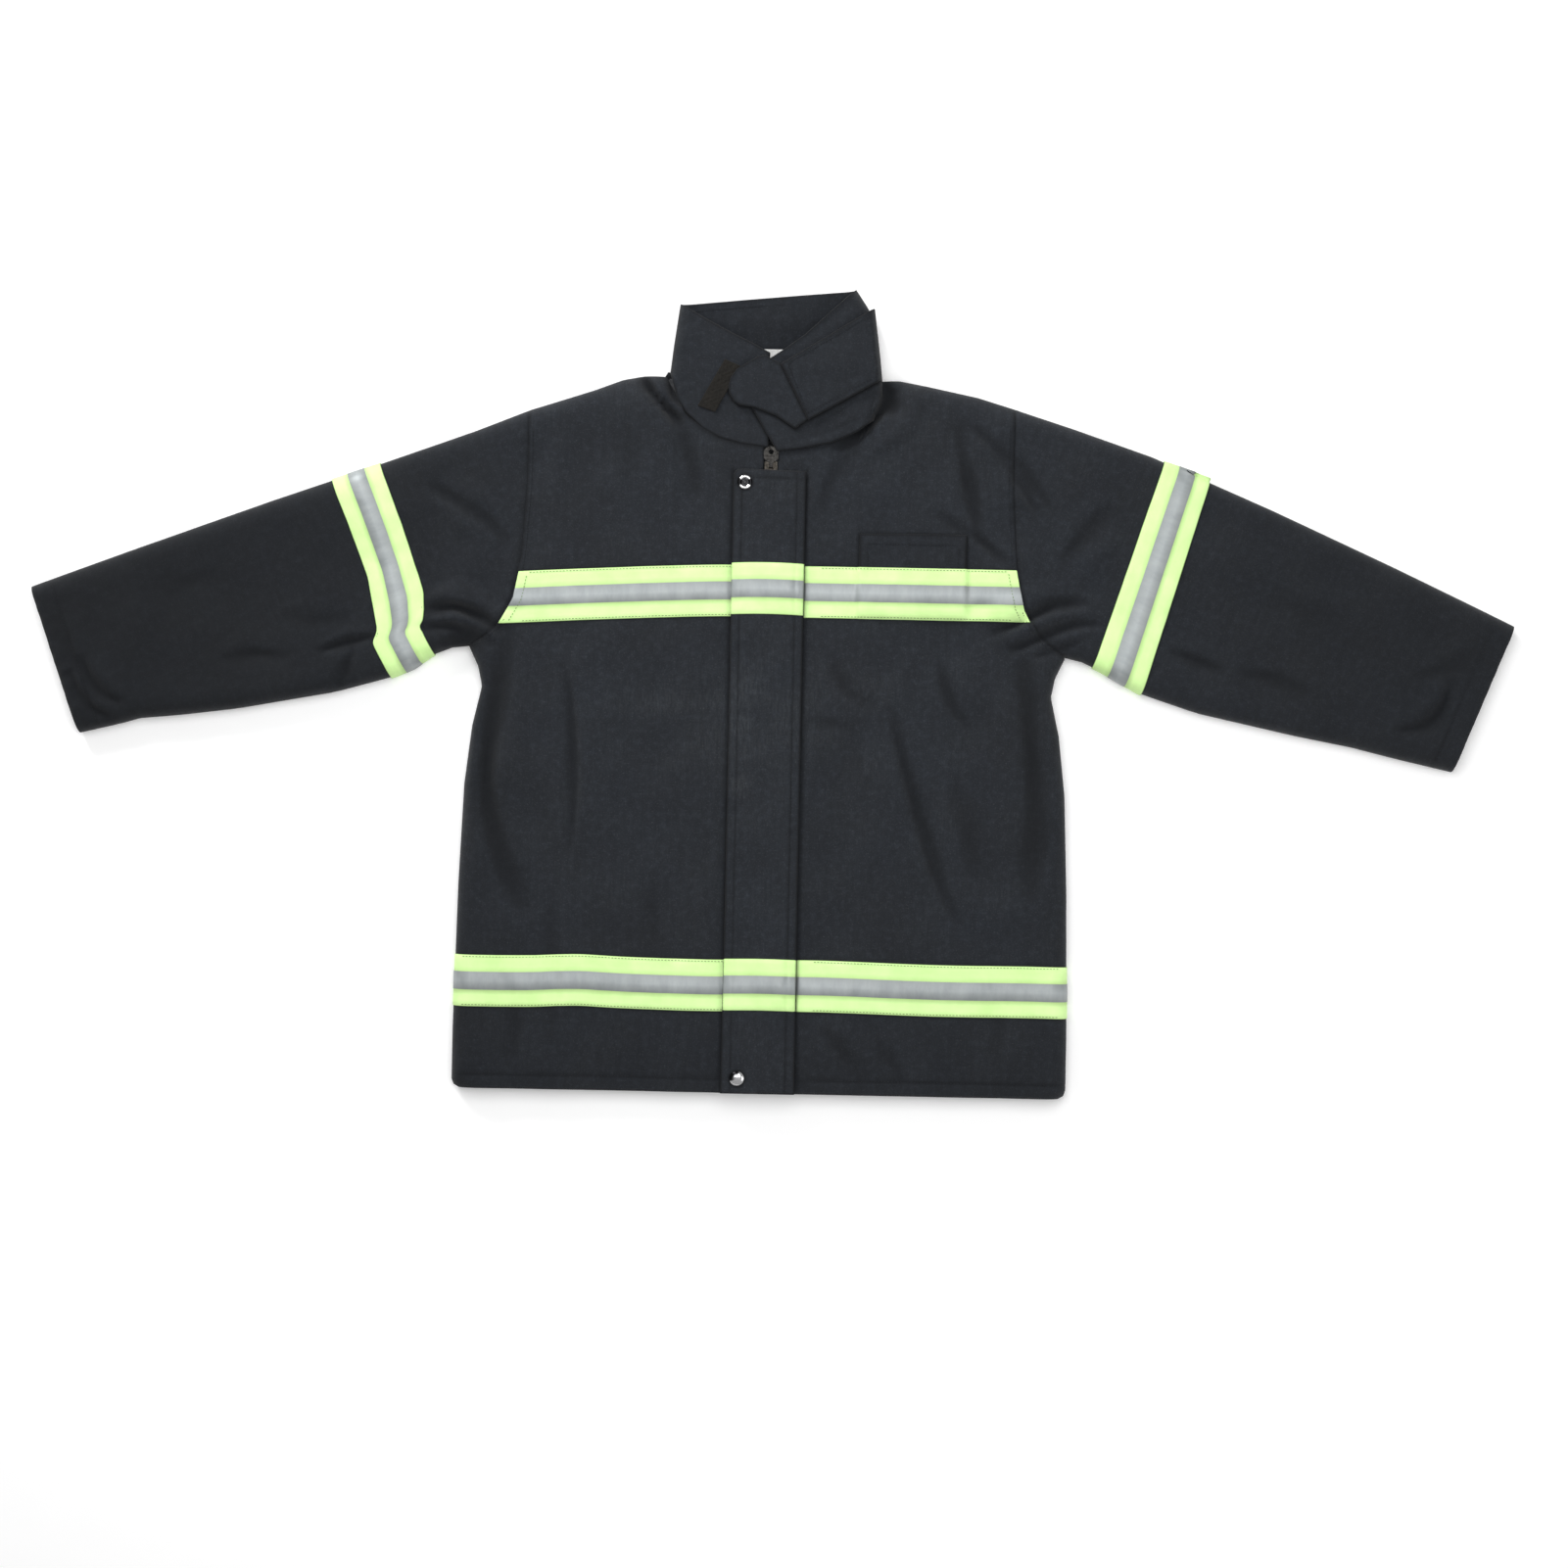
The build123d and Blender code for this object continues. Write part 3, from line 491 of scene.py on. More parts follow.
def drape():
    """Cloth simulation: a flat front slightly larger than its outline settles and buckles."""
    xs = np.arange(*DRAPE_X, DRAPE_STEP)
    ys = np.arange(*DRAPE_Y, DRAPE_STEP)
    x, y = np.meshgrid(xs, ys)
    corners, faces = drape_cells(x, y)
    relief = 0.5 * waves(x, y, 70, 91) + fold_relief(x, y)
    start = np.stack([x, y, relief], axis=-1).reshape(-1, 3)[corners]
    cloth_object = plain_object("drape_sheet", start * MM, faces)
    hold_edges(cloth_object, start)
    make_cloth(cloth_object)
    table = drape_table()
    change = settled_heights(cloth_object, len(corners)) - start[:, 2]
    raster = np.full(x.size, np.nan)
    raster[corners] = np.clip(change, -DRAPE_DROP, DRAPE_DROP)
    raster = raster.reshape(x.shape) - np.nanmedian(raster)
    raster = DRAPE_SHARE * softened(softened(softened(spread_out(raster))))
    bpy.context.scene.frame_set(1)
    for item in (cloth_object, table):
        bpy.data.objects.remove(item)
    DRAPE["grid"] = (raster, xs[0], ys[0], DRAPE_STEP)


# how far the storm flap presses the cloth under it, and how deep its edges' trench is
PRESSED = 0.4
TRENCH = 1.6


def pressed_flat(x, y, relief):
    """The storm flap holds the cloth under it down, and its edges press a little trench."""
    beside = np.maximum(FLAP_FREE - x, x - FLAP_SEWN)
    level = FLAP_TOP + 6 - y
    under = smoothstep((8 - beside) / 14) * smoothstep(level / 14)
    trench = bell(beside, 3.0) * smoothstep(level / 6)
    return relief * (1 - under) - PRESSED * under - TRENCH * trench


# the front's unevenness: each layer's height, the length of its waves, and its seed
UNEVENNESS = ((0.9, 150, 3), (0.45, 58, 4), (0.16, 22, 5))


def front_height(x, y):
    """The outer face of the coat's front, over any place."""
    x, y = np.asarray(x, float), np.asarray(y, float)
    relief = fold_relief(x, y) + seam_relief(x, y) + droop(x, y) + drape_relief(x, y)
    for tall, length, seed in UNEVENNESS:
        relief = relief + tall * waves(x, y, length, seed)
    relief = pressed_flat(x, y, relief)
    return SEAM_Z + (FRONT_Z - SEAM_Z + relief) * edge_rise(x, y)


def back_height(x, y):
    """The outer face of the coat's back, which lies on the floor."""
    x, y = np.asarray(x, float), np.asarray(y, float)
    return SEAM_Z - (SEAM_Z - BACK_BASE) * edge_rise(x, y, EDGE_R * 0.7)


# ---- mesh helpers --------------------------------------------------------------------
def shares(count, dense_start=False, dense_end=False, part=0.1):
    """Shares from 0 to 1 for a grid's lines, closer together at a rounded edge."""
    edge = part * np.sin(np.linspace(0, math.pi / 2, 9))
    start = (part - edge)[::-1] if dense_start else [0.0]
    end = 1 - part + edge if dense_end else [1.0]
    middle = np.linspace(start[-1], end[0], count)
    return np.concatenate([start, middle[1:-1], end])


def grid_faces(rows, cols, wrap=False, turn=False):
    faces = []
    for r in range(rows - 1):
        for c in range(cols if wrap else cols - 1):
            n = (c + 1) % cols
            quad = (r * cols + c, r * cols + n, (r + 1) * cols + n, (r + 1) * cols + c)
            faces.append(quad[::-1] if turn else quad)
    return faces


def plain_object(name, points, faces):
    """An object in the scene from points in metres."""
    mesh = bpy.data.meshes.new(name)
    mesh.from_pydata([tuple(p) for p in points], [], faces)
    item = bpy.data.objects.new(name, mesh)
    bpy.context.scene.collection.objects.link(item)
    return item


def square(half, z):
    return [(-half, -half, z), (half, -half, z), (half, half, z), (-half, half, z)]


def make_piece(name, points, faces, material, uv=None, thick=0.0, face_slots=None):
    """One piece from points in millimetres. uv is in millimetres across the cloth."""
    points = np.asarray(points, float).reshape(-1, 3)
    piece = plain_object(name, to_frame(points), faces)
    mesh = piece.data
    flat = points[:, :2] if uv is None else np.asarray(uv, float).reshape(-1, 2)
    layer = mesh.uv_layers.new(name="cloth")
    corner = np.zeros(len(mesh.loops), np.int32)
    mesh.loops.foreach_get("vertex_index", corner)
    layer.data.foreach_set("uv", (flat[corner] * MM).astype(np.float32).ravel())
    for m in (material if isinstance(material, list) else [material]):
        mesh.materials.append(m)
    if face_slots is not None:
        mesh.polygons.foreach_set("material_index", np.asarray(face_slots, np.int32))
    mesh.polygons.foreach_set("use_smooth", [True] * len(mesh.polygons))
    mesh.update()
    if thick:
        solid = piece.modifiers.new("cloth", "SOLIDIFY")
        solid.thickness = thick * MM
        solid.offset = -1
    return piece


def paint(piece, name, values):
    """A number on each point that the material reads, such as wear."""
    attribute = piece.data.attributes.new(name, "FLOAT", "POINT")
    attribute.data.foreach_set("value", np.asarray(values, np.float32).ravel())


def coons(start, end, left, right, rows, cols):
    """A patch between four border lines. left and right run from start to end."""
    start, end = resample(start, cols), resample(end, cols)
    left, right = resample(left, rows), resample(right, rows)
    v, u = np.array(rows)[:, None, None], np.array(cols)[None, :, None]
    ruled = start[None] * (1 - v) + end[None] * v
    cross = left[:, None] * (1 - u) + right[:, None] * u
    corners = ((start[0] * (1 - u) + start[-1] * u) * (1 - v) + (end[0] * (1 - u) + end[-1] * u) * v)
    return ruled + cross - corners


# ---- materials -----------------------------------------------------------------------
class Nodes:
    """Short calls that add shader nodes to one material."""

    def __init__(self, name, base, rough, **sockets):
        self.material = bpy.data.materials.new(name)
        self.material.use_nodes = True
        self.tree = self.material.node_tree
        self.shader = self.tree.nodes["Principled BSDF"]
        self.shader.inputs["Base Color"].default_value = (*base, 1)
        self.shader.inputs["Roughness"].default_value = rough
        for socket, value in sockets.items():
            self.shader.inputs[socket.replace("_", " ")].default_value = value

    def add(self, kind, inputs=(), **settings):
        node = self.tree.nodes.new(kind)
        for key, value in settings.items():
            setattr(node, key, value)
        for socket, value in dict(inputs).items():
            target = node.inputs[socket]
            if isinstance(value, bpy.types.NodeSocket):
                self.tree.links.new(value, target)
            else:
                target.default_value = value
        return node

    def place(self, scale, turn=0.0, source="uv"):
        """Coordinates scaled so that one unit is 1/scale metres, turned by an angle."""
        if source == "uv":
            start = self.add("ShaderNodeUVMap", uv_map="cloth").outputs["UV"]
        else:
            start = self.add("ShaderNodeTexCoord").outputs["Object"]
        scales = scale if isinstance(scale, tuple) else (scale, scale, scale)
        mapping = self.add("ShaderNodeMapping", {"Vector": start, "Rotation": (0, 0, turn), "Scale": scales})
        return mapping.outputs["Vector"]

    def noise(self, vector, scale=1.0, detail=4.0, rough=0.55):
        return self.add("ShaderNodeTexNoise", {"Vector": vector, "Scale": scale, "Detail": detail,
                                               "Roughness": rough}).outputs["Fac"]

    def wave(self, vector, scale, distort=0.0, direction="X"):
        return self.add("ShaderNodeTexWave", {"Vector": vector, "Scale": scale, "Distortion": distort,
                                              "Detail": 1.0}, bands_direction=direction).outputs["Fac"]

    def range(self, value, low0, high0, low1, high1):
        return self.add("ShaderNodeMapRange", {"Value": value, "From Min": low0, "From Max": high0,
                                               "To Min": low1, "To Max": high1}).outputs["Result"]

    def math(self, kind, a, b=0.0):
        return self.add("ShaderNodeMath", {0: a, 1: b}, operation=kind).outputs["Value"]

    def mix(self, factor, a, b):
        node = self.add("ShaderNodeMix", data_type="RGBA", blend_type="MIX")
        for index, value in ((0, factor), (6, a), (7, b)):
            if isinstance(value, bpy.types.NodeSocket):
                self.tree.links.new(value, node.inputs[index])
            else:
                node.inputs[index].default_value = value if index == 0 else (*value, 1)
        return node.outputs[2]

    def attribute(self, name):
        return self.add("ShaderNodeAttribute", attribute_name=name).outputs["Fac"]

    def color(self, socket):
        self.tree.links.new(socket, self.shader.inputs["Base Color"])

    def roughness(self, socket):
        self.tree.links.new(socket, self.shader.inputs["Roughness"])

    def bump(self, *layers):
        """Each layer is a height socket with its depth in millimetres."""
        normal = None
        for height, depth in layers:
            inputs = {"Height": height, "Distance": depth * MM, "Strength": 1.0}
            if normal is not None:
                inputs["Normal"] = normal
            normal = self.add("ShaderNodeBump", inputs).outputs["Normal"]
        self.tree.links.new(normal, self.shader.inputs["Normal"])


def scaled(tone, share):
    return tuple(share * c for c in tone)


def shell_material():
    """Cotton twill: diagonal ribs, uneven dye, lint, and chalky rubbed places; painted shade in seams, under
    layer edges, in fold hollows and for the light's falloff darkens it.
    """
    base = (0.0150, 0.0178, 0.0228)
    m = Nodes("shell_cloth", base, 0.9, Sheen_Weight=0.07, Sheen_Roughness=0.55, Specular_IOR_Level=0.18)
    ribs = m.wave(m.place(1.0, 0.98), 620.0, 0.6)
    threads = m.wave(m.place(1.0), 520.0, 1.0, "Y")
    weave = m.math("MULTIPLY", ribs, m.range(threads, 0, 1, 0.7, 1.0))
    cloudy = m.noise(m.place(9.0), 1.0, 5.0, 0.6)
    streaks = m.noise(m.place((160.0, 18.0, 18.0)), 1.0, 3.0, 0.6)
    lint = m.noise(m.place(620.0), 1.0, 2.0, 0.6)
    mottle = m.noise(m.place(150.0), 1.0, 3.0, 0.6)
    rubs = m.noise(m.place((420.0, 70.0, 70.0)), 1.0, 5.0, 0.7)
    tone = m.mix(m.range(cloudy, 0.32, 0.68, 0, 1), scaled(base, 0.80), scaled(base, 1.28))
    tone = m.mix(m.range(mottle, 0.36, 0.66, 0.42, 0), tone, scaled(base, 0.55))
    tone = m.mix(m.range(mottle, 0.52, 0.72, 0, 0.36), tone, scaled(base, 2.1))
    tone = m.mix(m.range(streaks, 0.42, 0.75, 0, 0.22), tone, scaled(base, 1.9))
    tone = m.mix(m.range(weave, 0.0, 1.0, 0.30, 0.0), tone, scaled(base, 0.5))
    tone = m.mix(m.range(lint, 0.58, 0.74, 0, 0.17), tone, (0.13, 0.14, 0.15))
    tone = m.mix(m.range(lint, 0.30, 0.44, 0.30, 0), tone, scaled(base, 0.5))
    chalk = m.math("MULTIPLY", m.attribute("wear"), m.range(rubs, 0.42, 0.72, 0.15, 1.0))
    tone = m.mix(chalk, tone, (0.20, 0.215, 0.225))
    # painted shade: the cloth is darkened where its piece is painted with shade
    m.color(m.mix(m.attribute("painted_shade"), tone, scaled(base, 0.28)))
    m.roughness(m.range(cloudy, 0.3, 0.7, 0.82, 0.96))
    m.bump((weave, 0.12), (m.noise(m.place(160.0), 1.0, 3.0, 0.6), 0.25))
    return m.material


def lime_material():
    # a faint emission stands in for the tape's fluorescence: a painted glow
    m = Nodes("trim_lime", (0.66, 0.90, 0.39), 0.62, Specular_IOR_Level=0.3,
              Emission_Color=(0.62, 1.0, 0.34, 1), Emission_Strength=0.06)
    knit = m.wave(m.place(1.0), 700.0, 0.8, "Y")
    cross = m.wave(m.place(1.0), 420.0, 0.8)
    cloudy = m.noise(m.place(28.0), 1.0, 4.0, 0.6)
    tone = m.mix(m.range(cloudy, 0.35, 0.7, 0, 1), (0.58, 0.85, 0.33), (0.70, 0.96, 0.42))
    tone = m.mix(m.range(knit, 0, 1, 0.22, 0), tone, (0.46, 0.68, 0.27))
    # painted shade along the tape's turned edges and the silver stripe's seams
    tone = m.mix(m.attribute("painted_shade"), tone, (0.16, 0.26, 0.07))
    m.color(tone)
    m.roughness(m.range(cloudy, 0.3, 0.7, 0.55, 0.75))
    m.bump((m.math("MULTIPLY", knit, cross), 0.10), (m.noise(m.place(60.0), 1.0, 2.0, 0.5), 0.12))
    return m.material


def silver_material():
    """Glass-bead reflective stripe."""
    m = Nodes("trim_silver", (0.36, 0.37, 0.41), 0.5, Metallic=0.25, Specular_IOR_Level=0.5)
    beads = m.add("ShaderNodeTexVoronoi", {"Vector": m.place(2200.0), "Scale": 1.0}).outputs["Distance"]
    cloudy = m.noise(m.place((60.0, 25.0, 25.0)), 1.0, 4.0, 0.6)
    tone = m.mix(m.range(cloudy, 0.35, 0.7, 0, 1), (0.275, 0.300, 0.305), (0.38, 0.405, 0.410))
    # painted shade along the stripe's sewn edges
    tone = m.mix(m.attribute("painted_shade"), tone, (0.10, 0.11, 0.10))
    m.color(tone)
    m.roughness(m.range(cloudy, 0.3, 0.7, 0.42, 0.6))
    m.bump((beads, 0.06), (m.noise(m.place(90.0), 1.0, 2.0, 0.5), 0.10))
    return m.material


def quilt_material():
    """Lining: smooth face cloth, with its quilting in the mesh."""
    m = Nodes("liner_cloth", (0.055, 0.058, 0.062), 0.8, Sheen_Weight=0.2, Specular_IOR_Level=0.3)
    weave = m.wave(m.place(1.0), 900.0, 0.5)
    cloudy = m.noise(m.place(20.0), 1.0, 4.0, 0.6)
    m.color(m.mix(m.range(cloudy, 0.3, 0.7, 0, 1), (0.042, 0.045, 0.05), (0.075, 0.078, 0.083)))
    m.roughness(m.range(cloudy, 0.3, 0.7, 0.7, 0.85))
    m.bump((weave, 0.08), (m.noise(m.place(80.0), 1.0, 3.0, 0.6), 0.3))
    return m.material


def thread_material(name, tone):
    m = Nodes(name, tone, 0.8, Sheen_Weight=0.05, Specular_IOR_Level=0.2)
    twist = m.wave(m.place(1.0, 0.6, "object"), 1400.0, 0.4)
    m.color(m.mix(m.range(twist, 0, 1, 0.6, 0.0), tone, scaled(tone, 0.5)))
    m.bump((twist, 0.05))
    return m.material


def metal_material(name, base, rough, tarnish, tarnish_share, shaded=False):
    """Plated metal. A shaded one is also dark where its piece carries a painted reflection of the dark cloth
    round it.
    """
    m = Nodes(name, base, rough, Metallic=1.0)
    spots = m.noise(m.place(420.0, 0.0, "object"), 1.0, 5.0, 0.65)
    scratches = m.noise(m.place((2600.0, 260.0, 260.0), 0.5, "object"), 1.0, 3.0, 0.6)
    tone = m.mix(m.range(spots, 0.45, 0.75, 0, tarnish_share), base, tarnish)
    # painted reflection: dark where the piece is painted with the dark cloth's reflection
    m.color(m.mix(m.attribute("painted_shade"), tone, (0.012, 0.012, 0.013)) if shaded else tone)
    m.roughness(m.range(spots, 0.3, 0.75, rough * 0.7, rough * 1.6))
    m.bump((scratches, 0.02), (spots, 0.02))
    return m.material


def fuzzy_material():
    """Loop side of hook-and-loop: brown-black and matted."""
    m = Nodes("loop_pile", (0.012, 0.011, 0.010), 0.95, Sheen_Weight=0.12, Sheen_Roughness=0.4,
              Sheen_Tint=(0.5, 0.42, 0.34, 1), Specular_IOR_Level=0.2)
    pile = m.noise(m.place(1500.0), 1.0, 5.0, 0.75)
    mats = m.noise(m.place(120.0), 1.0, 4.0, 0.7)
    tone = m.mix(m.range(mats, 0.35, 0.7, 0, 1), (0.0060, 0.0056, 0.0050), (0.0140, 0.0126, 0.0108))
    m.color(m.mix(m.range(pile, 0.4, 0.7, 0, 0.5), tone, (0.024, 0.022, 0.019)))
    m.roughness(m.range(mats, 0.3, 0.7, 0.88, 1.0))
    m.bump((pile, 0.5), (mats, 0.4))
    return m.material


def tape_material(name, base, pitch):
    """Woven narrow tape: herringbone ribs."""
    m = Nodes(name, base, 0.8, Sheen_Weight=0.15)
    left = m.wave(m.place(1.0, 0.7), pitch, 0.2)
    right = m.wave(m.place(1.0, -0.7), pitch, 0.2)
    bones = m.math("MAXIMUM", left, right)
    cloudy = m.noise(m.place(60.0), 1.0, 3.0, 0.6)
    tone = m.mix(m.range(cloudy, 0.3, 0.7, 0, 1), scaled(base, 0.8), scaled(base, 1.25))
    m.color(m.mix(m.range(bones, 0, 1, 0.5, 0), tone, scaled(base, 0.4)))
    m.roughness(m.range(cloudy, 0.3, 0.7, 0.7, 0.9))
    m.bump((bones, 0.15))
    return m.material


SHELL = shell_material()
LIME = lime_material()
SILVER = silver_material()
QUILT = quilt_material()
THREAD = thread_material("thread_navy", (0.0075, 0.0090, 0.0120))
TRIM_THREAD = thread_material("thread_trim", (0.20, 0.30, 0.12))
CHROME = metal_material("chrome_snap", (0.56, 0.56, 0.57), 0.16, (0.24, 0.23, 0.22), 0.45)
CAP_METAL = metal_material("cap_metal", (0.72, 0.72, 0.73), 0.16, (0.35, 0.34, 0.33), 0.4, shaded=True)
DARK_METAL = metal_material("snap_inner", (0.045, 0.045, 0.048), 0.4, (0.014, 0.014, 0.014), 0.6)
BRASS = metal_material("aged_brass", (0.040, 0.036, 0.031), 0.42, (0.018, 0.016, 0.014), 0.7)
PULL_METAL = metal_material("pull_metal", (0.044, 0.042, 0.040), 0.55, (0.024, 0.023, 0.021), 0.6)
LOOP = fuzzy_material()
ZIP_TAPE = tape_material("zip_tape", (0.018, 0.02, 0.024), 900.0)
WEBBING = tape_material("webbing", (0.02, 0.022, 0.026), 600.0)
LABEL = tape_material("label_cloth", (0.86, 0.86, 0.85), 1200.0)


# ---- wear, and painted shade in seams, under layer edges and in folds, on the shell ---
# two scuffs on the storm flap
SCUFFS = ((-26, 378), (-26, 314))


def rubbed_spot(x, y, centre, size):
    """An oval patch, 1 at its centre and falling off over its two half-sizes."""
    return np.exp(-((x - centre[0]) / size[0]) ** 2 - ((y - centre[1]) / size[1]) ** 2)


def wear_at(x, y):
    """Where the cloth is rubbed pale: the middle of the chest, edges and hem."""
    chest = rubbed_spot(x, y, (-10, 385), (95, 62))
    lines = bell(y - 402 - 0.05 * x, 9) * bell(x + 70, 110)
    hem = np.exp(-np.clip(y, 0, None) / 3.5)
    cuff = np.exp(-cuff_distance(x, y) / 4)
    outline = np.exp(-edge_distance(x, y) / 3.0)
    patchy = 0.5 + 0.5 * waves(x, y, 60, 41)
    rubbed = 0.05 * chest * (0.4 + 1.0 * patchy) + 0.06 * lines + 0.03 * patchy
    for scuff_x, scuff_y in SCUFFS:
        rubbed = rubbed + 0.16 * rubbed_spot(x, y, (scuff_x, scuff_y), (13, 11))
    return np.clip(rubbed + 0.08 * hem + 0.06 * cuff + 0.02 * outline, 0, 0.8)


# each fold beside the collar whose hollow gets painted shade is its line and its half-width
DEEP_FOLDS = [
    ([(-130, 731), (-121, 714), (-107, 699), (-92, 688)], 3.0),
    ([(-106, 735), (-103, 718), (-96, 702)], 2.0),
    ([(112, 730), (115, 711), (107, 694), (86, 677), (66, 664)], 3.0),
]
COLLAR_RIGHT_FOOT = [(-105, 735), (-97, 708), (-88, 694), (-70, 678), (-53, 669), (-30, 663), (-3, 660)]
COLLAR_FOOT = COLLAR_RIGHT_FOOT + [(30, 659), (62, 666), (88, 678), (104, 690)]
POCKET_HEAD = [(POCKET_X[0], CHEST_TAPE + TAPE_WIDE), (POCKET_X[0], POCKET_Y[1]), (POCKET_X[1], POCKET_Y[1]),
               (POCKET_X[1], CHEST_TAPE + TAPE_WIDE)]


def painted_shade_at(x, y):
    """Painted shade: dark lines where the cloth dives into a seam or under another layer, darkening in fold
    hollows, and the painted falloff of the light towards the cuffs and hem.
    """
    dark = np.zeros(x.shape)
    for upper_edge, wide in ((COLLAR_FOOT, 3.0), (POCKET_HEAD, 2.6)):
        away = np.abs(near_line(x, y, upper_edge)[0])
        dark = np.maximum(dark, 0.9 * bell(away, wide))
    for side in (1, -1):
        away = np.abs(near_line(x, y, smooth_line(flip(armhole(side), side), 24))[0])
        dark = np.maximum(dark, 0.8 * bell(away, 2.0))
    for fold_line, wide in DEEP_FOLDS:
        away, share = near_line(x, y, smooth_line(fold_line, 16))
        dark = np.maximum(dark, bell(away, wide) * np.sin(np.pi * share) ** 0.5)
    for edge in (FLAP_FREE, FLAP_SEWN):
        dark = np.maximum(dark, bell(x - edge, 2.0) * (y < FLAP_TOP))
    dark = np.maximum(dark, 0.5 * bell(y - HEM_STITCH, 1.6))
    dark = np.maximum(dark, 0.5 * bell(cuff_distance(x, y) - CUFF_STITCH, 1.6))
    for tape_line in (chest_line, hem_line):
        for edge in (tape_line(x), tape_line(x) + TAPE_WIDE):
            on_body = np.abs(x) < side_at(y, 1)
            dark = np.maximum(dark, 0.8 * bell(y - edge, 1.8) * on_body)
    # painted shade in the hollows of the folds and of the simulated buckles
    hollow = 1 - np.exp(np.minimum(fold_relief(x, y) + 0.5 * drape_relief(x, y), 0) / 3.4)
    return 1 - (1 - 0.85 * dark) * (1 - 0.82 * hollow) * (1 - light_falloff_shade(x, y))


def light_falloff_shade(x, y):
    """Painted shade for the light's falloff: darker towards the cuffs and hem, and most on the wearer's right
    sleeve.
    """
    outwards = smoothstep((np.abs(x) - 150) / 560)
    downwards = smoothstep((220 - y) / 220)
    right_sleeve = smoothstep((-x - 200) / 160)
    return 0.12 + 0.36 * outwards + 0.14 * downwards + 0.24 * right_sleeve


def paint_shell(piece, points):
    x, y = points[..., 0].ravel(), points[..., 1].ravel()
    paint(piece, "wear", wear_at(x, y))
    # painted shade in seams, under layer edges, in fold hollows and for the light's falloff
    paint(piece, "painted_shade", painted_shade_at(x, y))


# ---- the pieces' transforms, baked into their meshes ---------------------------------
# distances to each side of a fold line, and out from an armhole
ELBOW_BEND = 32
SLEEVE_BEND = 44.0


def side_name(side):
    return "left" if side > 0 else "right"


def bend_front(piece):
    """Bakes a front's transform into its mesh."""
    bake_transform(piece)


def along_sleeve(line):
    """The outward direction across a line from a sleeve's underside to its top."""
    step = np.array(line[1]) - np.array(line[0])
    return np.array([step[1], -step[0]]) / np.linalg.norm(step)


def bend_places(side, start, end):
    """Two places of the wearer's left sleeve, in the frame, on that side."""
    places = to_frame([[*start, 0.0], [*end, 0.0]])
    places[:, 0] *= side
    return places


def bend_shoulder(piece, side):
    """Works out two places from the armpit outwards, then bakes the sleeve piece's transform into its mesh.
    """
    out = along_sleeve((ARMPIT, SHOULDER[-1]))
    start, end = bend_places(side, ARMPIT, np.array(ARMPIT) + out * SLEEVE_BEND)
    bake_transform(piece)


def bend_elbow(piece, side):
    out = along_sleeve(ELBOW)
    middle = np.array(ELBOW[0])
    start, end = bend_places(side, middle - ELBOW_BEND * out, middle + ELBOW_BEND * out)
    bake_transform(piece)


# ---- body of the coat ----------------------------------------------------------------
def top_line(side):
    return np.array(NECK_CURVE + SHOULDER_LINE[side][::-1][1:], float)


def side_at(y, side):
    """How far out a body panel reaches at a height: side seam, then armhole."""
    line = np.array(SIDE_SEAM + armhole(side)[1:], float)
    return np.interp(y, line[:, 1], line[:, 0])


def body_plane(side, inner, rows, cols, inset=0.0):
    """A body panel's places, in rows from its inner edge to its outer one."""
    q = shares(cols, dense_end=True, part=0.085)
    v = shares(rows, dense_end=True, part=0.045)
    top = top_line(side)
    q, v = np.meshgrid(q, v)
    tip = SHOULDER[side]
    x_top = inner + q * (tip[0] - inset - inner)
    x = inner + q * (side_at(v * tip[1], side) - inset - inner)
    y = inset + v * (np.interp(x_top, top[:, 0], top[:, 1]) - 2 * inset)
    return side * x, y


def body_front(side):
    x, y = body_plane(side, EDGE_X, 230, 92)
    grid = np.stack([x, y, front_height(x, y)], axis=-1)
    name = f"{side_name(side)}_front_cloth"
    piece = make_piece(name, grid, grid_faces(*x.shape, turn=side < 0), SHELL, thick=CLOTH)
    paint_shell(piece, grid)
    bend_front(piece)
    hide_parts(f"{side_name(side)}_front_side", f"{side_name(side)}_front_edge")


def back_neck(x, y):
    """The back's neck is cut higher than the front's."""
    reach = np.clip(np.abs(x) / NECK_CURVE[-1][0], 0, 1)
    front = np.interp(np.abs(x), *np.array(NECK_CURVE, float).T)
    return np.where(reach < 1, y * (BACK_NECK + BACK_NECK_RISE * reach ** 2) / front, y)


def back_plane(rows, cols, inset=0.0):
    halves = [body_plane(side, 0.0, rows, cols, inset) for side in (-1, 1)]
    x, y = [np.concatenate([halves[0][k][:, ::-1], halves[1][k][:, 1:]], axis=1) for k in (0, 1)]
    return x, back_neck(x, y)


def body_back():
    """The back in one piece, from its right edge to its left one."""
    x, y = back_plane(150, 60)
    grid = np.stack([x, y, back_height(x, y)], axis=-1)
    piece = make_piece("back_cloth", grid, grid_faces(*x.shape, turn=True), SHELL, thick=CLOTH)
    paint_shell(piece, grid)
    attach(piece, "root")
    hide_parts("back_shell")


# ---- sleeves -------------------------------------------------------------------------
# how far a tube's back is moved in its uv, so that its weave isn't the front's mirrored
UV_BACK_SHIFT = 400


def ring_shares(count, part=0.12):
    return shares(count, dense_start=True, dense_end=True, part=part)


def tube_plane(side, start, end, lower, upper, rows, cols):
    """The places of a flattened tube's front, between two lines across it."""
    flat = coons(start, end, lower, upper, np.linspace(0, 1, rows), ring_shares(cols))
    return side * flat[..., 0], flat[..., 1]


def around_tube(x, y, front_z, back_z):
    """A ring of points for each row: the front from edge to edge, then the back."""
    front = np.stack([x, y, front_z], axis=-1)
    back = np.stack([x, y, back_z], axis=-1)
    return np.concatenate([front, back[:, -2:0:-1]], axis=1)


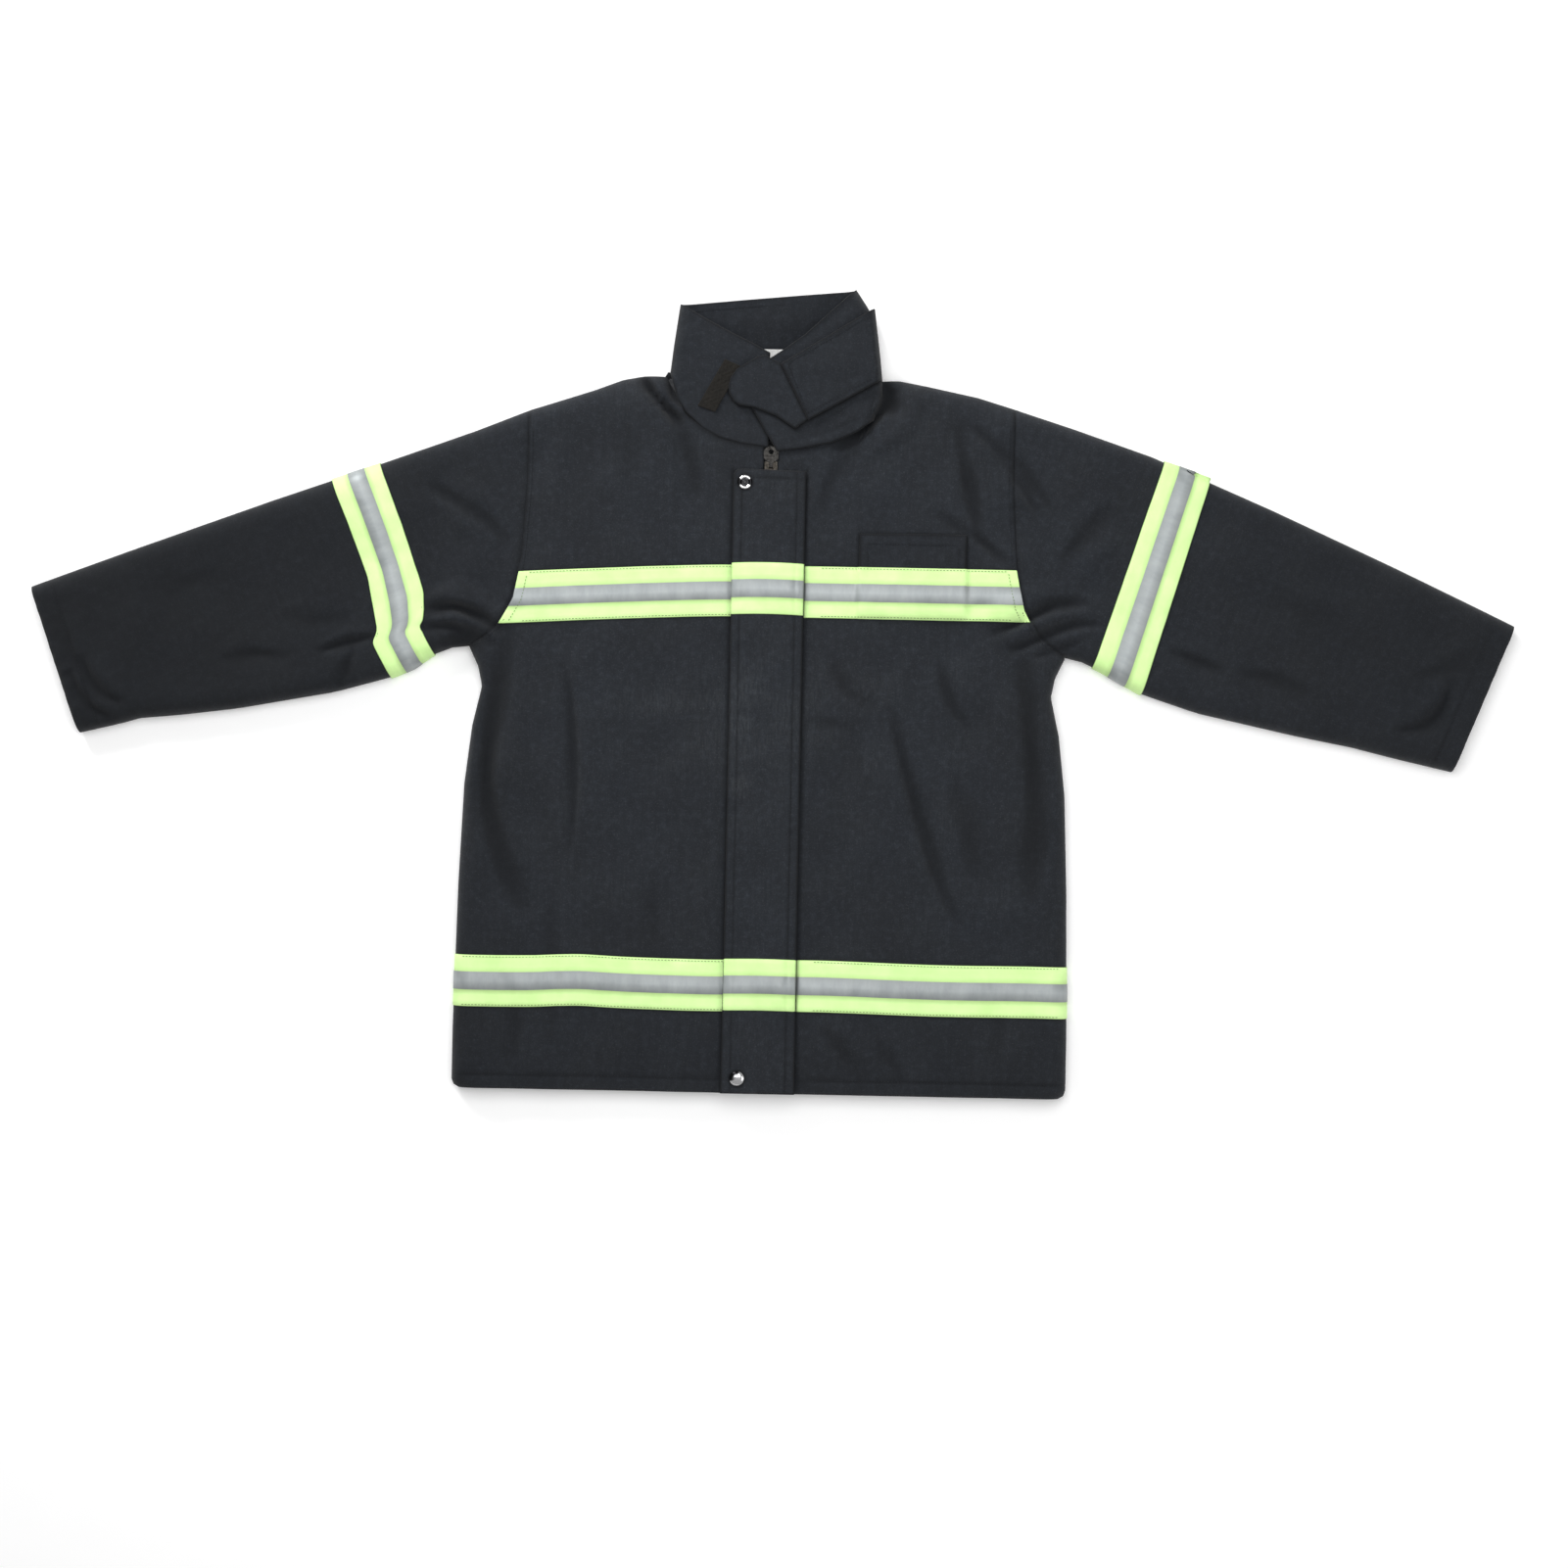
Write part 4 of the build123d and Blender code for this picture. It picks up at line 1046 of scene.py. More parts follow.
def tube_piece(name, side, grid, material, thick):
    """Wraps a tube in faces. Its uv runs along the sleeve, so that the weave does too."""
    rows, ring = grid.shape[:2]
    x, y = side * grid[..., 0], grid[..., 1]
    turn = math.atan2(CUFF_DROP[1], CUFF_DROP[0])
    along, across = x * math.cos(turn) + y * math.sin(turn), y * math.cos(turn) - x * math.sin(turn)
    uv = np.stack([along, across], axis=-1)
    uv[:, ring // 2 + 1:, 1] += UV_BACK_SHIFT
    faces = grid_faces(rows, ring, wrap=True, turn=side > 0)
    return make_piece(name, grid, faces, material, uv=uv, thick=thick)


def part_of(line, start, end, count=40):
    """The stretch of a line between the places nearest to two points."""
    line = np.array(line, float)
    near = [float(near_line(np.array(float(p[0])), np.array(float(p[1])), line)[1]) for p in (start, end)]
    return resample(line, np.linspace(near[0], near[1], count))


def seam_under_band(side):
    """The line across a sleeve, halfway under its band, where its two cloths meet."""
    return resample(BAND_INNER[side], [0, 1]) / 2 + resample(BAND_OUTER[side], [0, 1]) / 2


def cols_middle(values):
    return (values[:, :1] + values[:, -1:]) / 2


def sleeve_plane(side, part, rows, cols, inset=0.0):
    """The places of the upper sleeve or the forearm."""
    cut = seam_under_band(side)
    if part == "upper_sleeve":
        start = smooth_line(armhole(side), 40, 2) - np.array([3.0, 0])
        ends = (ARMPIT, cut[0]), (SHOULDER[side], cut[1])
    else:
        start = cut
        ends = (cut[0], SLEEVE_LOW[side][-1]), (cut[1], SLEEVE_TOP[side][-1])
    lower = part_of(SLEEVE_LOW[side], *ends[0])
    upper = part_of(SLEEVE_TOP[side], *ends[1])
    lower[0] = start[0]
    upper[0] = start[-1]
    end = np.array([lower[-1], upper[-1]])
    x, y = tube_plane(side, start, end, lower, upper, rows, cols)
    if inset:
        middle = cols_middle(x), cols_middle(y)
        width = np.hypot(x[:, -1:] - x[:, :1], y[:, -1:] - y[:, :1])
        shrink = 1 - 2 * inset / width
        x, y = middle[0] + (x - middle[0]) * shrink, middle[1] + (y - middle[1]) * shrink
    return x, y


def armhole_dip(x, y):
    """How far the cloth sinks where the sleeve is sewn to the body, its first row."""
    return 1.4 * bell(np.hypot(x - x[:1], y - y[:1]), 5)


def sleeve(side):
    arm = side_name(side)
    parts = (("upper_sleeve", 60, (0.50, 0.20), 0.066), ("forearm", 110, (0.40, 0.37), 0.133))
    for part, rows, flat, area in parts:
        upper = part == "upper_sleeve"
        x, y = sleeve_plane(side, part, rows, 72)
        dip = armhole_dip(x, y) if upper else 0.0
        grid = around_tube(x, y, front_height(x, y) - dip, back_height(x, y) + 0.4 * dip)
        piece = tube_piece(f"{arm}_{part}_cloth", side, grid, SHELL, CLOTH)
        paint_shell(piece, grid)
        bend_sleeve(piece, side, part)
        node = f"{arm}_{'upper' if upper else 'fore'}_sleeve"
        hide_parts(f"{node}_top", f"{node}_under")


def bend_sleeve(piece, side, part):
    if part == "upper_sleeve":
        bend_shoulder(piece, side)
    else:
        bend_elbow(piece, side)


# ---- quilted lining ------------------------------------------------------------------
# the quilting's height, the lining's gap to the shell, the heights that keep a sleeve lining's two
# faces apart, and how far its cuff end is set back
QUILT_PUFF = 1.3
LINING_GAP = 2.0
SLEEVE_MID = (8.0, 9.0)
CUFF_BACK_OFF = 14


def quilting(x, y):
    """Puffed squares between sewn lines."""
    u, v = (x + y) * math.sqrt(0.5), (x - y) * math.sqrt(0.5)
    puffs = np.abs(np.sin(math.pi * u / QUILT_PITCH)) * np.abs(np.sin(math.pi * v / QUILT_PITCH))
    return QUILT_PUFF * puffs ** 0.4


def lowest_near(height, rounds=2):
    """Each height in a grid, lowered to its lowest neighbour, so that a lining clears deep folds."""
    for _ in range(rounds):
        wide = np.pad(height, 1, mode="edge")
        beside = [wide[:-2, 1:-1], wide[2:, 1:-1], wide[1:-1, :-2], wide[1:-1, 2:]]
        height = np.min([height, *beside], axis=0)
    return height


def front_lining(side):
    x, y = body_plane(side, EDGE_X + 1, 150, 70, inset=5.0)
    z = lowest_near(front_height(x, y)) - CLOTH - LINING_GAP
    z = np.maximum(z - quilting(x, y), LINER_FLOOR + 1.5)
    grid = np.stack([x, y, z], axis=-1)
    name = f"{side_name(side)}_front_lining"
    piece = make_piece(name, grid, grid_faces(*x.shape, turn=side < 0), QUILT, thick=-1.4)
    bend_front(piece)
    nodes = [f"{side_name(side)}_liner_side", f"{side_name(side)}_liner_edge"]
    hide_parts(*(nodes + ["front_barriers"] if side > 0 else nodes))


def back_lining():
    x, y = back_plane(130, 60, inset=6.0)
    z = BACK_BASE + CLOTH + 1.6 + quilting(x, y) + 5 * (1 - edge_rise(x, y, 14))
    grid = np.stack([x, y, z], axis=-1)
    piece = make_piece("back_lining", grid, grid_faces(*x.shape), QUILT, thick=1.4)
    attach(piece, "root")
    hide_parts("back_liner", "back_barrier")


def sleeve_lining(side):
    arm = side_name(side)
    parts = (("upper_sleeve", "upper_sleeve_liner", 40, (0.49, 0.20), 0.064),
             ("forearm", "fore_sleeve_liner", 70, (0.39, 0.36), 0.124))
    for part, node, rows, flat, area in parts:
        x, y = sleeve_plane(side, part, rows, 50, inset=3.2)
        if part == "forearm":
            back_off = np.linspace(0, 1, rows)[:, None] ** 6 * CUFF_BACK_OFF
            x = x - side * back_off * math.cos(SLEEVE_SLOPE)
            y = y + back_off * math.sin(SLEEVE_SLOPE)
        top = lowest_near(front_height(x, y)) - CLOTH - LINING_GAP - quilting(x, y)
        foot = back_height(x, y) + CLOTH + 1.8 + quilting(x, y)
        top, foot = np.maximum(top, SLEEVE_MID[1]), np.minimum(foot, SLEEVE_MID[0])
        grid = around_tube(x, y, top, foot)
        piece = tube_piece(f"{arm}_{part}_lining", side, grid, QUILT, 1.2)
        bend_sleeve(piece, side, part)
        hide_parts(f"{arm}_{node}")


# ---- reflective trim -----------------------------------------------------------------
# rows across a tape: their places, how far each stands off the cloth, and which one is the middle
TRIM_ACROSS = np.array([0, 0.7, 6, 12, 17.3, 17.8, 26.5, 35.2, 35.7, 41, 47, 52.3, TAPE_WIDE])
TRIM_RAISE = np.array([0.1, 0.8, 0.8, 0.8, 0.85, 1.15, 1.2, 1.15, 0.85, 0.8, 0.8, 0.8, 0.1])
TRIM_MIDDLE = 6
TRIM_THICK = 0.5
# how much further a sleeve's band stands off the cloth, and the lowest that it may lie
BAND_LIFT = 0.4
BAND_FLOOR = 0.6
SILVER_EDGES = (17.5, 35.5)
CHEST_DIP = 12.0
CHEST_DIP_REACH = 230


def normals_of(grid, wrap=False):
    along = np.gradient(grid, axis=0)
    if wrap:
        across = (np.roll(grid, -1, axis=1) - np.roll(grid, 1, axis=1)) / 2
    else:
        across = np.gradient(grid, axis=1)
    n = np.cross(across, along)
    return n / np.maximum(np.linalg.norm(n, axis=-1, keepdims=True), 1e-9)


def raised(grid, height, sign=1, wrap=False):
    """A grid moved off its surface, up on the front."""
    return grid + sign * normals_of(grid, wrap) * np.asarray(height)[..., None]


def trim_piece(name, grid, along, follow, nodes, turn=False, wrap=False):
    """A tape whose rows run along it: lime for its outer thirds, and silver for its middle."""
    rows, cols = grid.shape[:2]
    places = (along, TRIM_ACROSS[:, None])
    uv = np.stack([np.broadcast_to(values, (rows, cols)) for values in places], axis=-1)
    middle = (TRIM_ACROSS[1:] + TRIM_ACROSS[:-1]) / 2
    silver = ((middle > SILVER_EDGES[0]) & (middle < SILVER_EDGES[1])).astype(int)
    piece = make_piece(name, grid, grid_faces(rows, cols, wrap, turn), [LIME, SILVER], uv=uv,
                       thick=TRIM_THICK, face_slots=np.repeat(silver, cols if wrap else cols - 1))
    # painted shade along the tape's edges and the silver stripe's seams
    paint(piece, "painted_shade", trim_painted_shade(uv))
    follow(piece)
    if nodes:
        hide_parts(*nodes)


def trim_painted_shade(uv):
    """Painted shade along the silver stripe's sewn edges and along the tape's own edges, which are turned
    under.
    """
    across = uv[..., 1].ravel()
    seams = [0.5 * bell(across - place, 0.5) for place in SILVER_EDGES]
    seams += [0.95 * bell(across - place, 0.35) for place in (0.0, TAPE_WIDE)]
    return np.max(seams, axis=0)


def chest_line(x):
    """The chest tape's lower edge: it dips towards the wearer's right sleeve."""
    dip = CHEST_DIP * np.clip((FLAP_FREE - x) / CHEST_DIP_REACH, 0, 1) ** 1.3
    return CHEST_TAPE - np.where(x < FLAP_FREE, dip, 0.0)


def hem_line(x):
    """The hem tape's lower edge, with the slight bends it has where the cloth buckles."""
    sag = 1.6 * bell(x + 190, 30) - 2.2 * np.clip((x - 60) / 250, 0, 1)
    return HEM_TAPE + sag + 0.6 * np.sin(x / 37.0)


def body_trim(name, side, line, inner, nodes):
    """A tape across one front, from the zip or the flap to the coat's side."""
    across = TRIM_ACROSS[:, None]
    share = shares(90, dense_end=True, part=0.09)[None, :]
    guess = side * (inner + share * (side_at(line(0.0 * share + side * 150) + across, side) - inner))
    y = line(guess) + across
    limit = side_at(y, side) - (0.0 if line is hem_line else 1.2)
    x = side * (inner + share * (limit - inner))
    surface = np.stack([x, y, front_height(x, y) + pocket_rise(x, y)], axis=-1)
    trim_piece(name, raised(surface, TRIM_RAISE[:, None], side), np.abs(x),
               lambda piece: bend_front(piece), nodes,
               turn=side < 0)


def back_trim(name, line, nodes):
    """A tape across the back, on its underside."""
    across = TRIM_ACROSS[:, None]
    share = np.linspace(-1, 1, 121)[None, :]
    y = line(0.0 * share) + across + 0.0 * share
    x = share * (side_at(y, 1) - 0.6)
    surface = np.stack([x, y, back_height(x, y)], axis=-1)
    trim_piece(name, raised(surface, TRIM_RAISE[:, None], -1), x, lambda piece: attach(piece, "root"),
               nodes, turn=True)


def band_plane(side):
    """The places of a sleeve's band on the sleeve's front, with its ends on the sleeve's edges."""
    inner, outer = [smooth_line(line, 60, 1) for line in (BAND_INNER[side], BAND_OUTER[side])]
    share = TRIM_ACROSS[:, None, None] / TAPE_WIDE
    columns = ring_shares(64)
    flat = resample(inner, columns)[None] * (1 - share) + resample(outer, columns)[None] * share
    for end, line in ((0, SLEEVE_LOW[side]), (-1, SLEEVE_TOP[side])):
        flat[:, end] = onto_line(flat[:, end], line)
    return side * flat[..., 0], flat[..., 1]


def sleeve_band(side):
    """A tape round the sleeve, over the seam between its two cloths."""
    x, y = band_plane(side)
    surface = around_tube(x, y, front_height(x, y), back_height(x, y))
    grid = raised(surface, TRIM_RAISE[:, None] + BAND_LIFT, -side, wrap=True)
    grid[..., 2] = np.maximum(grid[..., 2], BAND_FLOOR)
    middle = grid[TRIM_MIDDLE]
    along = np.cumsum(np.linalg.norm(np.diff(middle, axis=0, prepend=middle[:1]), axis=1))
    arm = side_name(side)
    trim_piece(f"{arm}_sleeve_tape", grid, along, lambda piece: bend_shoulder(piece, side),
               [f"{arm}_sleeve_band"],
               turn=side < 0, wrap=True)


def onto_line(points, line):
    """Points moved to the nearest places on a line."""
    share = near_line(points[:, 0], points[:, 1], np.array(line, float))[1]
    return resample(line, share)


# ---- chest pocket --------------------------------------------------------------------
# the pocket's thickness, and its foot under the tape
POCKET_LIFT = 2.6
POCKET_FOOT = CHEST_TAPE + 3


def pocket_rise(x, y):
    """How far the tape climbs where it is sewn over the pocket."""
    inside = np.min([x - POCKET_X[0], POCKET_X[1] - x, POCKET_Y[1] - y, y - POCKET_FOOT], axis=0)
    return (POCKET_LIFT + 1.5) * smoothstep((inside + 2.6) / 3.0)


def pocket():
    (x0, x1), y0, y1 = POCKET_X, POCKET_FOOT, POCKET_Y[1]
    left, right = [(x0, y0), (x0 - 0.6, y1)], [(x1, y0), (x1 + 0.4, y1 + 1.0)]
    foot, head = [(x0, y0), (x1, y0)], [left[1], (x0 + 50, y1 + 0.8), right[1]]

    def floor_of(x, y):
        return front_height(x, y) + 0.2

    piece = padded_patch("pocket_cloth", foot, head, left, right, 60, 60, floor_of, POCKET_LIFT, 1.6, SHELL,
                         puff=0.5)
    bend_front(piece)
    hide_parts("chest_pocket")


# ---- padded patches: a top and an underside joined round an outline ------------------
def outline_distance(x, y, borders):
    return np.min([np.abs(near_line(x, y, line)[0]) for line in borders], axis=0)


def padded_patch(name, start, end, left, right, rows, cols, floor_of, tall, roll, material,
                 puff=0.4, seed=60, relief=None, edges_above=()):
    """A sewn piece between four borders, with rolled edges, and painted shade along its own edges and along
    the edges of what lies on it.
    """
    r, c = ring_shares(rows, 0.06), ring_shares(cols, 0.06)
    flat = coons(start, end, left, right, r, c)
    x, y = flat[..., 0], flat[..., 1]
    base = floor_of(x, y)
    away = outline_distance(x, y, (start, end, left, right))
    rise = quarter_round(away, roll)
    crown = puff * smoothstep(away / 22) + 0.25 * waves(x, y, 26, seed) * smoothstep(away / 5)
    if relief is not None:
        crown = crown + relief(x, y) * smoothstep(away / 5)
    top = np.stack([x, y, base + tall * (0.5 + 0.5 * rise) + crown], axis=-1)
    under = np.stack([x, y, base + tall * 0.5 * (1 - rise)], axis=-1)
    points, faces = closed_grid(top, under)
    if signed_area(flat) < 0:
        faces = [f[::-1] for f in faces]
    piece = make_piece(name, points, faces, material)
    # darker a little all over, and painted shade along the piece's own edges and along the edges of what lies
    # on it
    seam = 0.24 + 0.76 * bell(away, 2.1)
    if edges_above:
        seam = np.maximum(seam, bell(outline_distance(x, y, edges_above), 3.0))
    paint(piece, "wear", np.full(len(points), 0.01))
    paint(piece, "painted_shade", np.tile(seam.ravel(), 2))
    return piece


def signed_area(flat):
    a, b = flat[0, -1] - flat[0, 0], flat[-1, 0] - flat[0, 0]
    return a[0] * b[1] - a[1] * b[0]


def closed_grid(top, under):
    """Two grids of the same shape as one closed mesh, joined round their edges."""
    rows, cols = top.shape[:2]
    points = np.concatenate([top.reshape(-1, 3), under.reshape(-1, 3)])
    shift = rows * cols
    faces = grid_faces(rows, cols)
    faces += [tuple(shift + i for i in f[::-1]) for f in grid_faces(rows, cols)]
    rim = [(0, c) for c in range(cols)] + [(r, cols - 1) for r in range(1, rows)]
    rim += [(rows - 1, c) for c in range(cols - 2, -1, -1)] + [(r, 0) for r in range(rows - 2, 0, -1)]
    ring = [r * cols + c for r, c in rim]
    for a, b in zip(ring, ring[1:] + ring[:1]):
        faces.append((b, a, shift + a, shift + b))
    return points, faces


# ---- storm flap ----------------------------------------------------------------------
# the flap's thickness at its edges, the radius they are rolled to, and the room over the zip
FLAP_EDGE = 1.6
FLAP_ROLL = 1.6
FLAP_ROOM = 3.4
FLAP_CORNER = 8.0


def flap_top(x, y):
    """The storm flap's outer face: stuffed in the middle, flatter at its sewn edges."""
    middle = (FLAP_FREE + FLAP_SEWN) / 2
    half = (FLAP_SEWN - FLAP_FREE) / 2
    t = np.clip(np.abs(x - middle) / half, 0, 1)
    crown = (FLAP_CROWN - FLAP_UNDER - FLAP_EDGE) * (1 - t ** 3)
    relief = 0.35 * waves(x, y, 70, 71) + 0.15 * waves(x, y, 24, 72)
    for seam, depth in ((FLAP_FREE + FLAP_HEM, 0.55), (FLAP_SEWN - FLAP_HEM, 0.75)):
        relief = relief - depth * bell(x - seam, 1.5)
        relief = relief + 0.28 * waves(x * 0.3, y, 13, 73) * bell(x - seam, 6)
    relief = relief - 0.5 * bell(y - (FLAP_TOP - FLAP_HEM), 1.5)
    for edge in (CHEST_TAPE, CHEST_TAPE + TAPE_WIDE, HEM_TAPE, HEM_TAPE + TAPE_WIDE):
        relief = relief + 0.3 * waves(x, y * 0.3, 20, 74) * bell(y - edge, 8)
    return FLAP_UNDER + FLAP_EDGE + crown + relief


def flap_under(x, y):
    """Its underside, with room over the zip."""
    middle = np.clip((16 - np.abs(x)) / 4, 0, 1)
    return FLAP_UNDER + FLAP_ROOM * smoothstep(middle)


def flap_borders():
    """The flap's foot, head, left and right borders, with its free upper corner rounded."""
    x0, x1, y1 = FLAP_FREE, FLAP_SEWN, FLAP_TOP
    arc = [(x0 + FLAP_CORNER * (1 - math.cos(a)), y1 - FLAP_CORNER + FLAP_CORNER * math.sin(a))
           for a in np.linspace(0, math.pi / 2, 7)]
    left = [(x0 - 0.8, 0.0), (x0, y1 * 0.3), (x0, y1 - FLAP_CORNER)] + arc[1:4]
    right = [(x1 + 0.6, 0.0), (x1, y1 * 0.4), (x1, y1 - 1.5)]
    return [left[0], right[0]], arc[3:] + [right[-1]], left, right


def flap_painted_shade(x, y, away):
    """Painted shade along the flap's edges and seams, and a painted shadow round its snaps."""
    seams = (FLAP_FREE + FLAP_HEM, FLAP_SEWN - FLAP_HEM)
    painted_shade = np.max([bell(x - seam, 1.3) for seam in seams], axis=0)
    painted_shade = np.maximum(painted_shade, bell(y - FLAP_TOP + FLAP_HEM, 1.3))
    painted_shade = np.maximum(0.1 + 0.5 * painted_shade, 1.2 * bell(away, 1.8))
    for snap_x, snap_y in SNAPS:
        beside = np.hypot(x - snap_x, y - snap_y) - SNAP_R
        painted_shade = np.maximum(painted_shade, 1.2 * bell(beside, 2.2))
    return np.minimum(0.8 * painted_shade, 1.0)


def storm_flap():
    foot, head, left, right = flap_borders()
    flat = coons(foot, head, left, right, shares(240, dense_end=True, part=0.03), ring_shares(44, 0.10))
    x, y = flat[..., 0], flat[..., 1]
    away = outline_distance(x, y, (foot, head, left, right))
    rise = quarter_round(away, FLAP_ROLL)
    middle = FLAP_UNDER + 1.0
    top = middle + (flap_top(x, y) - middle) * rise
    under = middle + (flap_under(x, y) - middle) * rise
    points, faces = closed_grid(np.stack([x, y, top], axis=-1), np.stack([x, y, under], axis=-1))
    piece = make_piece("storm_flap_cloth", points, faces, SHELL)
    paint(piece, "wear", np.tile(wear_at(x, y).ravel(), 2))
    # painted shade along the flap's edges and seams and round its snaps
    paint(piece, "painted_shade", np.tile(flap_painted_shade(x, y, away).ravel(), 2))
    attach(piece, "storm_flap")
    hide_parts("storm_flap")


def flap_trim(name, low_y, nodes):
    across = TRIM_ACROSS[:, None]
    x = np.linspace(FLAP_FREE + 0.5, FLAP_SEWN - 0.5, 50)[None, :] + 0 * across
    y = low_y + across + 0.9 * np.sin((x + 40) / 25)
    edge = np.minimum(x - FLAP_FREE, FLAP_SEWN - x)
    z = flap_top(x, y) - 1.0 * np.exp(-edge / 1.0)
    surface = np.stack([x, y, z], axis=-1)
    trim_piece(name, raised(surface, TRIM_RAISE[:, None]), x, lambda piece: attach(piece, "storm_flap"),
               nodes)


# ---- collar --------------------------------------------------------------------------
TAB_LOW_EDGE = [(37, 689), (24, 679), (4, 692), (-18, 700), (-33, 702)]
TAB_TIP = [(-33, 702), (-39, 706), (-44, 714), (-45, 722), (-43, 730), (-37, 739)]
COVER_FOOT = [(37, 688), (74, 709), (112, 731)]
COVER_END = [(37, 688), (8, 745)]
COLLAR_LEFT_END = [(6, 656), (-7, 677), (-20, 699), (-22, 738), (9, 759)]
COLLAR_RIGHT_EDGE = [(-105, 735), (-102, 762), (-96, 806)]
COLLAR_LEFT_EDGE = [(104, 690), (113, 716), (112, 736), (104, 790), (96, 806), (84, 824)]
SIDE_FOLD_Z = 13.0
LABEL_FOOT = 739
# soft folds, each a line, a half-width and a height
BACK_FOLDS = [
    ([(-66, 782), (-40, 768), (-26, 772)], 6, -1.6),
    ([(-80, 800), (-40, 786), (20, 790), (70, 806)], 12, 1.2),
]
RIGHT_FOLDS = [
    ([(-92, 760), (-82, 730), (-72, 706)], 9, -1.2),
    ([(-70, 775), (-52, 740), (-44, 706)], 12, 1.2),
    ([(-60, 690), (-40, 684), (-10, 684)], 6, -0.8),
    ([(-97, 712), (-90, 722), (-84, 716)], 4, 1.4),
]
LEFT_FOLDS = [
    ([(14, 664), (50, 672), (98, 694)], 2.5, -0.9),
    ([(40, 668), (48, 684), (52, 700)], 5, -1.2),
    ([(96, 700), (98, 716), (104, 728)], 6, -1.0),
    ([(20, 764), (52, 786), (82, 812)], 5, -0.6),
]
COVER_FOLDS = [
    ([(24, 732), (60, 744), (100, 770)], 13, 0.8),
    ([(60, 706), (78, 730), (96, 744)], 9, -0.6),
]


def soft_folds(x, y, folds):
    total = 0
    for line, wide, tall in folds:
        away, share = near_line(x, y, smooth_line(line, 12))
        total = total + tall * bell(away, wide) * np.sin(np.pi * share) ** 0.6
    return total


def folded_over(height, edge, radius=13.0):
    """A floor for a layer that turns down over the collar's outer edge."""
    def floor_of(x, y):
        rise = quarter_round(np.abs(near_line(x, y, edge)[0]), radius)
        return SIDE_FOLD_Z + (height - SIDE_FOLD_Z) * rise + 0.5 * waves(x, y, 60, 81)
    return floor_of


RIGHT_FLOOR = folded_over(24.6, COLLAR_RIGHT_EDGE)
LEFT_FLOOR = folded_over(28.4, COLLAR_LEFT_EDGE)
COVER_FLOOR = folded_over(34.0, [(113, 700), (113, 731), (104, 806), (100, 830)], 9.0)


def collar_back():
    foot = [(-105, 735), (-60, 729), (0, 727), (60, 730), (112, 736)]
    head = [(-96, 806), (-30, 813), (30, 819), (84, 824)]
    left, right = COLLAR_RIGHT_EDGE, [(112, 736), (104, 790), (84, 824)]

    def floor_of(x, y):
        sides = np.minimum(np.abs(near_line(x, y, left)[0]), np.abs(near_line(x, y, right)[0]))
        curl = (SIDE_FOLD_Z - 5.5) * (1 - quarter_round(sides, 16))
        lift = 4.0 * smoothstep((y - 765) / 50)
        return 0.8 + curl + lift

    def relief(x, y):
        return soft_folds(x, y, BACK_FOLDS) - 0.8 * bell(y - COLLAR_SEAM_Y, 1.4)

    piece = padded_patch("collar_back_cloth", foot, head, left, right, 50, 90, floor_of, 4.6, 2.2, SHELL,
                         relief=relief, seed=82)
    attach(piece, "root")
    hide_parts("back_collar")


def right_collar_relief(x, y):
    """The soft folds of the wearer's right half, which its loop patch follows."""
    return soft_folds(x, y, RIGHT_FOLDS)


def collar_right():
    """The wearer's right half, under the tab."""
    head = [(-96, 806), (-70, 791), (-45, 778), (-20, 766), (-3, 757)]
    right = [(-3, 660), (-3, 757)]
    piece = padded_patch("collar_right_cloth", COLLAR_RIGHT_FOOT, head, COLLAR_RIGHT_EDGE, right, 64, 74,
                         RIGHT_FLOOR, 3.0, 1.8, SHELL, relief=right_collar_relief, seed=83,
                         edges_above=(TAB_LOW_EDGE, TAB_TIP, COLLAR_LEFT_END))
    bend_front(piece)
    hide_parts("right_collar")


def collar_left():
    """The wearer's left half, which crosses over the right one."""
    foot = [(6, 656), (30, 659), (62, 666), (88, 678), (104, 690)]
    head = [(9, 759), (32, 776), (58, 800), (84, 824)]
    piece = padded_patch("collar_left_cloth", foot, head, COLLAR_LEFT_END, COLLAR_LEFT_EDGE, 64, 74,
                         LEFT_FLOOR, 3.0, 1.8, SHELL, relief=lambda x, y: soft_folds(x, y, LEFT_FOLDS),
                         seed=84, edges_above=(TAB_LOW_EDGE, COVER_FOOT))
    bend_front(piece)
    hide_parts("left_collar", "left_collar_stand")


def collar_cover():
    """The flap that covers the tab's root."""
    head = [(8, 745), (56, 775), (103, 804)]
    right = [(112, 731), (110, 752), (103, 804)]
    piece = padded_patch("throat_cover_cloth", COVER_FOOT, head, COVER_END, right, 54, 64, COVER_FLOOR, 2.8,
                         1.8, SHELL, relief=lambda x, y: soft_folds(x, y, COVER_FOLDS), seed=85)
    bend_front(piece)
    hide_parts("throat_cover", "throat_cover_end", "throat_tab_base")


def throat_tab():
    """The fastening tab, with its rounded end towards the wearer's right."""
    hinge = [(37, 689), (8, 745)]
    top_edge = [(8, 745), (-8, 754), (-16, 752), (-37, 739)]

    def floor_of(x, y):
        return 31.2 + 1.6 * smoothstep((x + 10) / 40) - 1.4 * smoothstep((-18 - x) / 24)

    piece = padded_patch("throat_tab_cloth", hinge, TAB_TIP, TAB_LOW_EDGE, top_edge, 50, 50, floor_of, 2.6,
                         1.6, SHELL, seed=86, edges_above=(COVER_END,))
    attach(piece, "throat_tab")
    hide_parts("throat_tab")


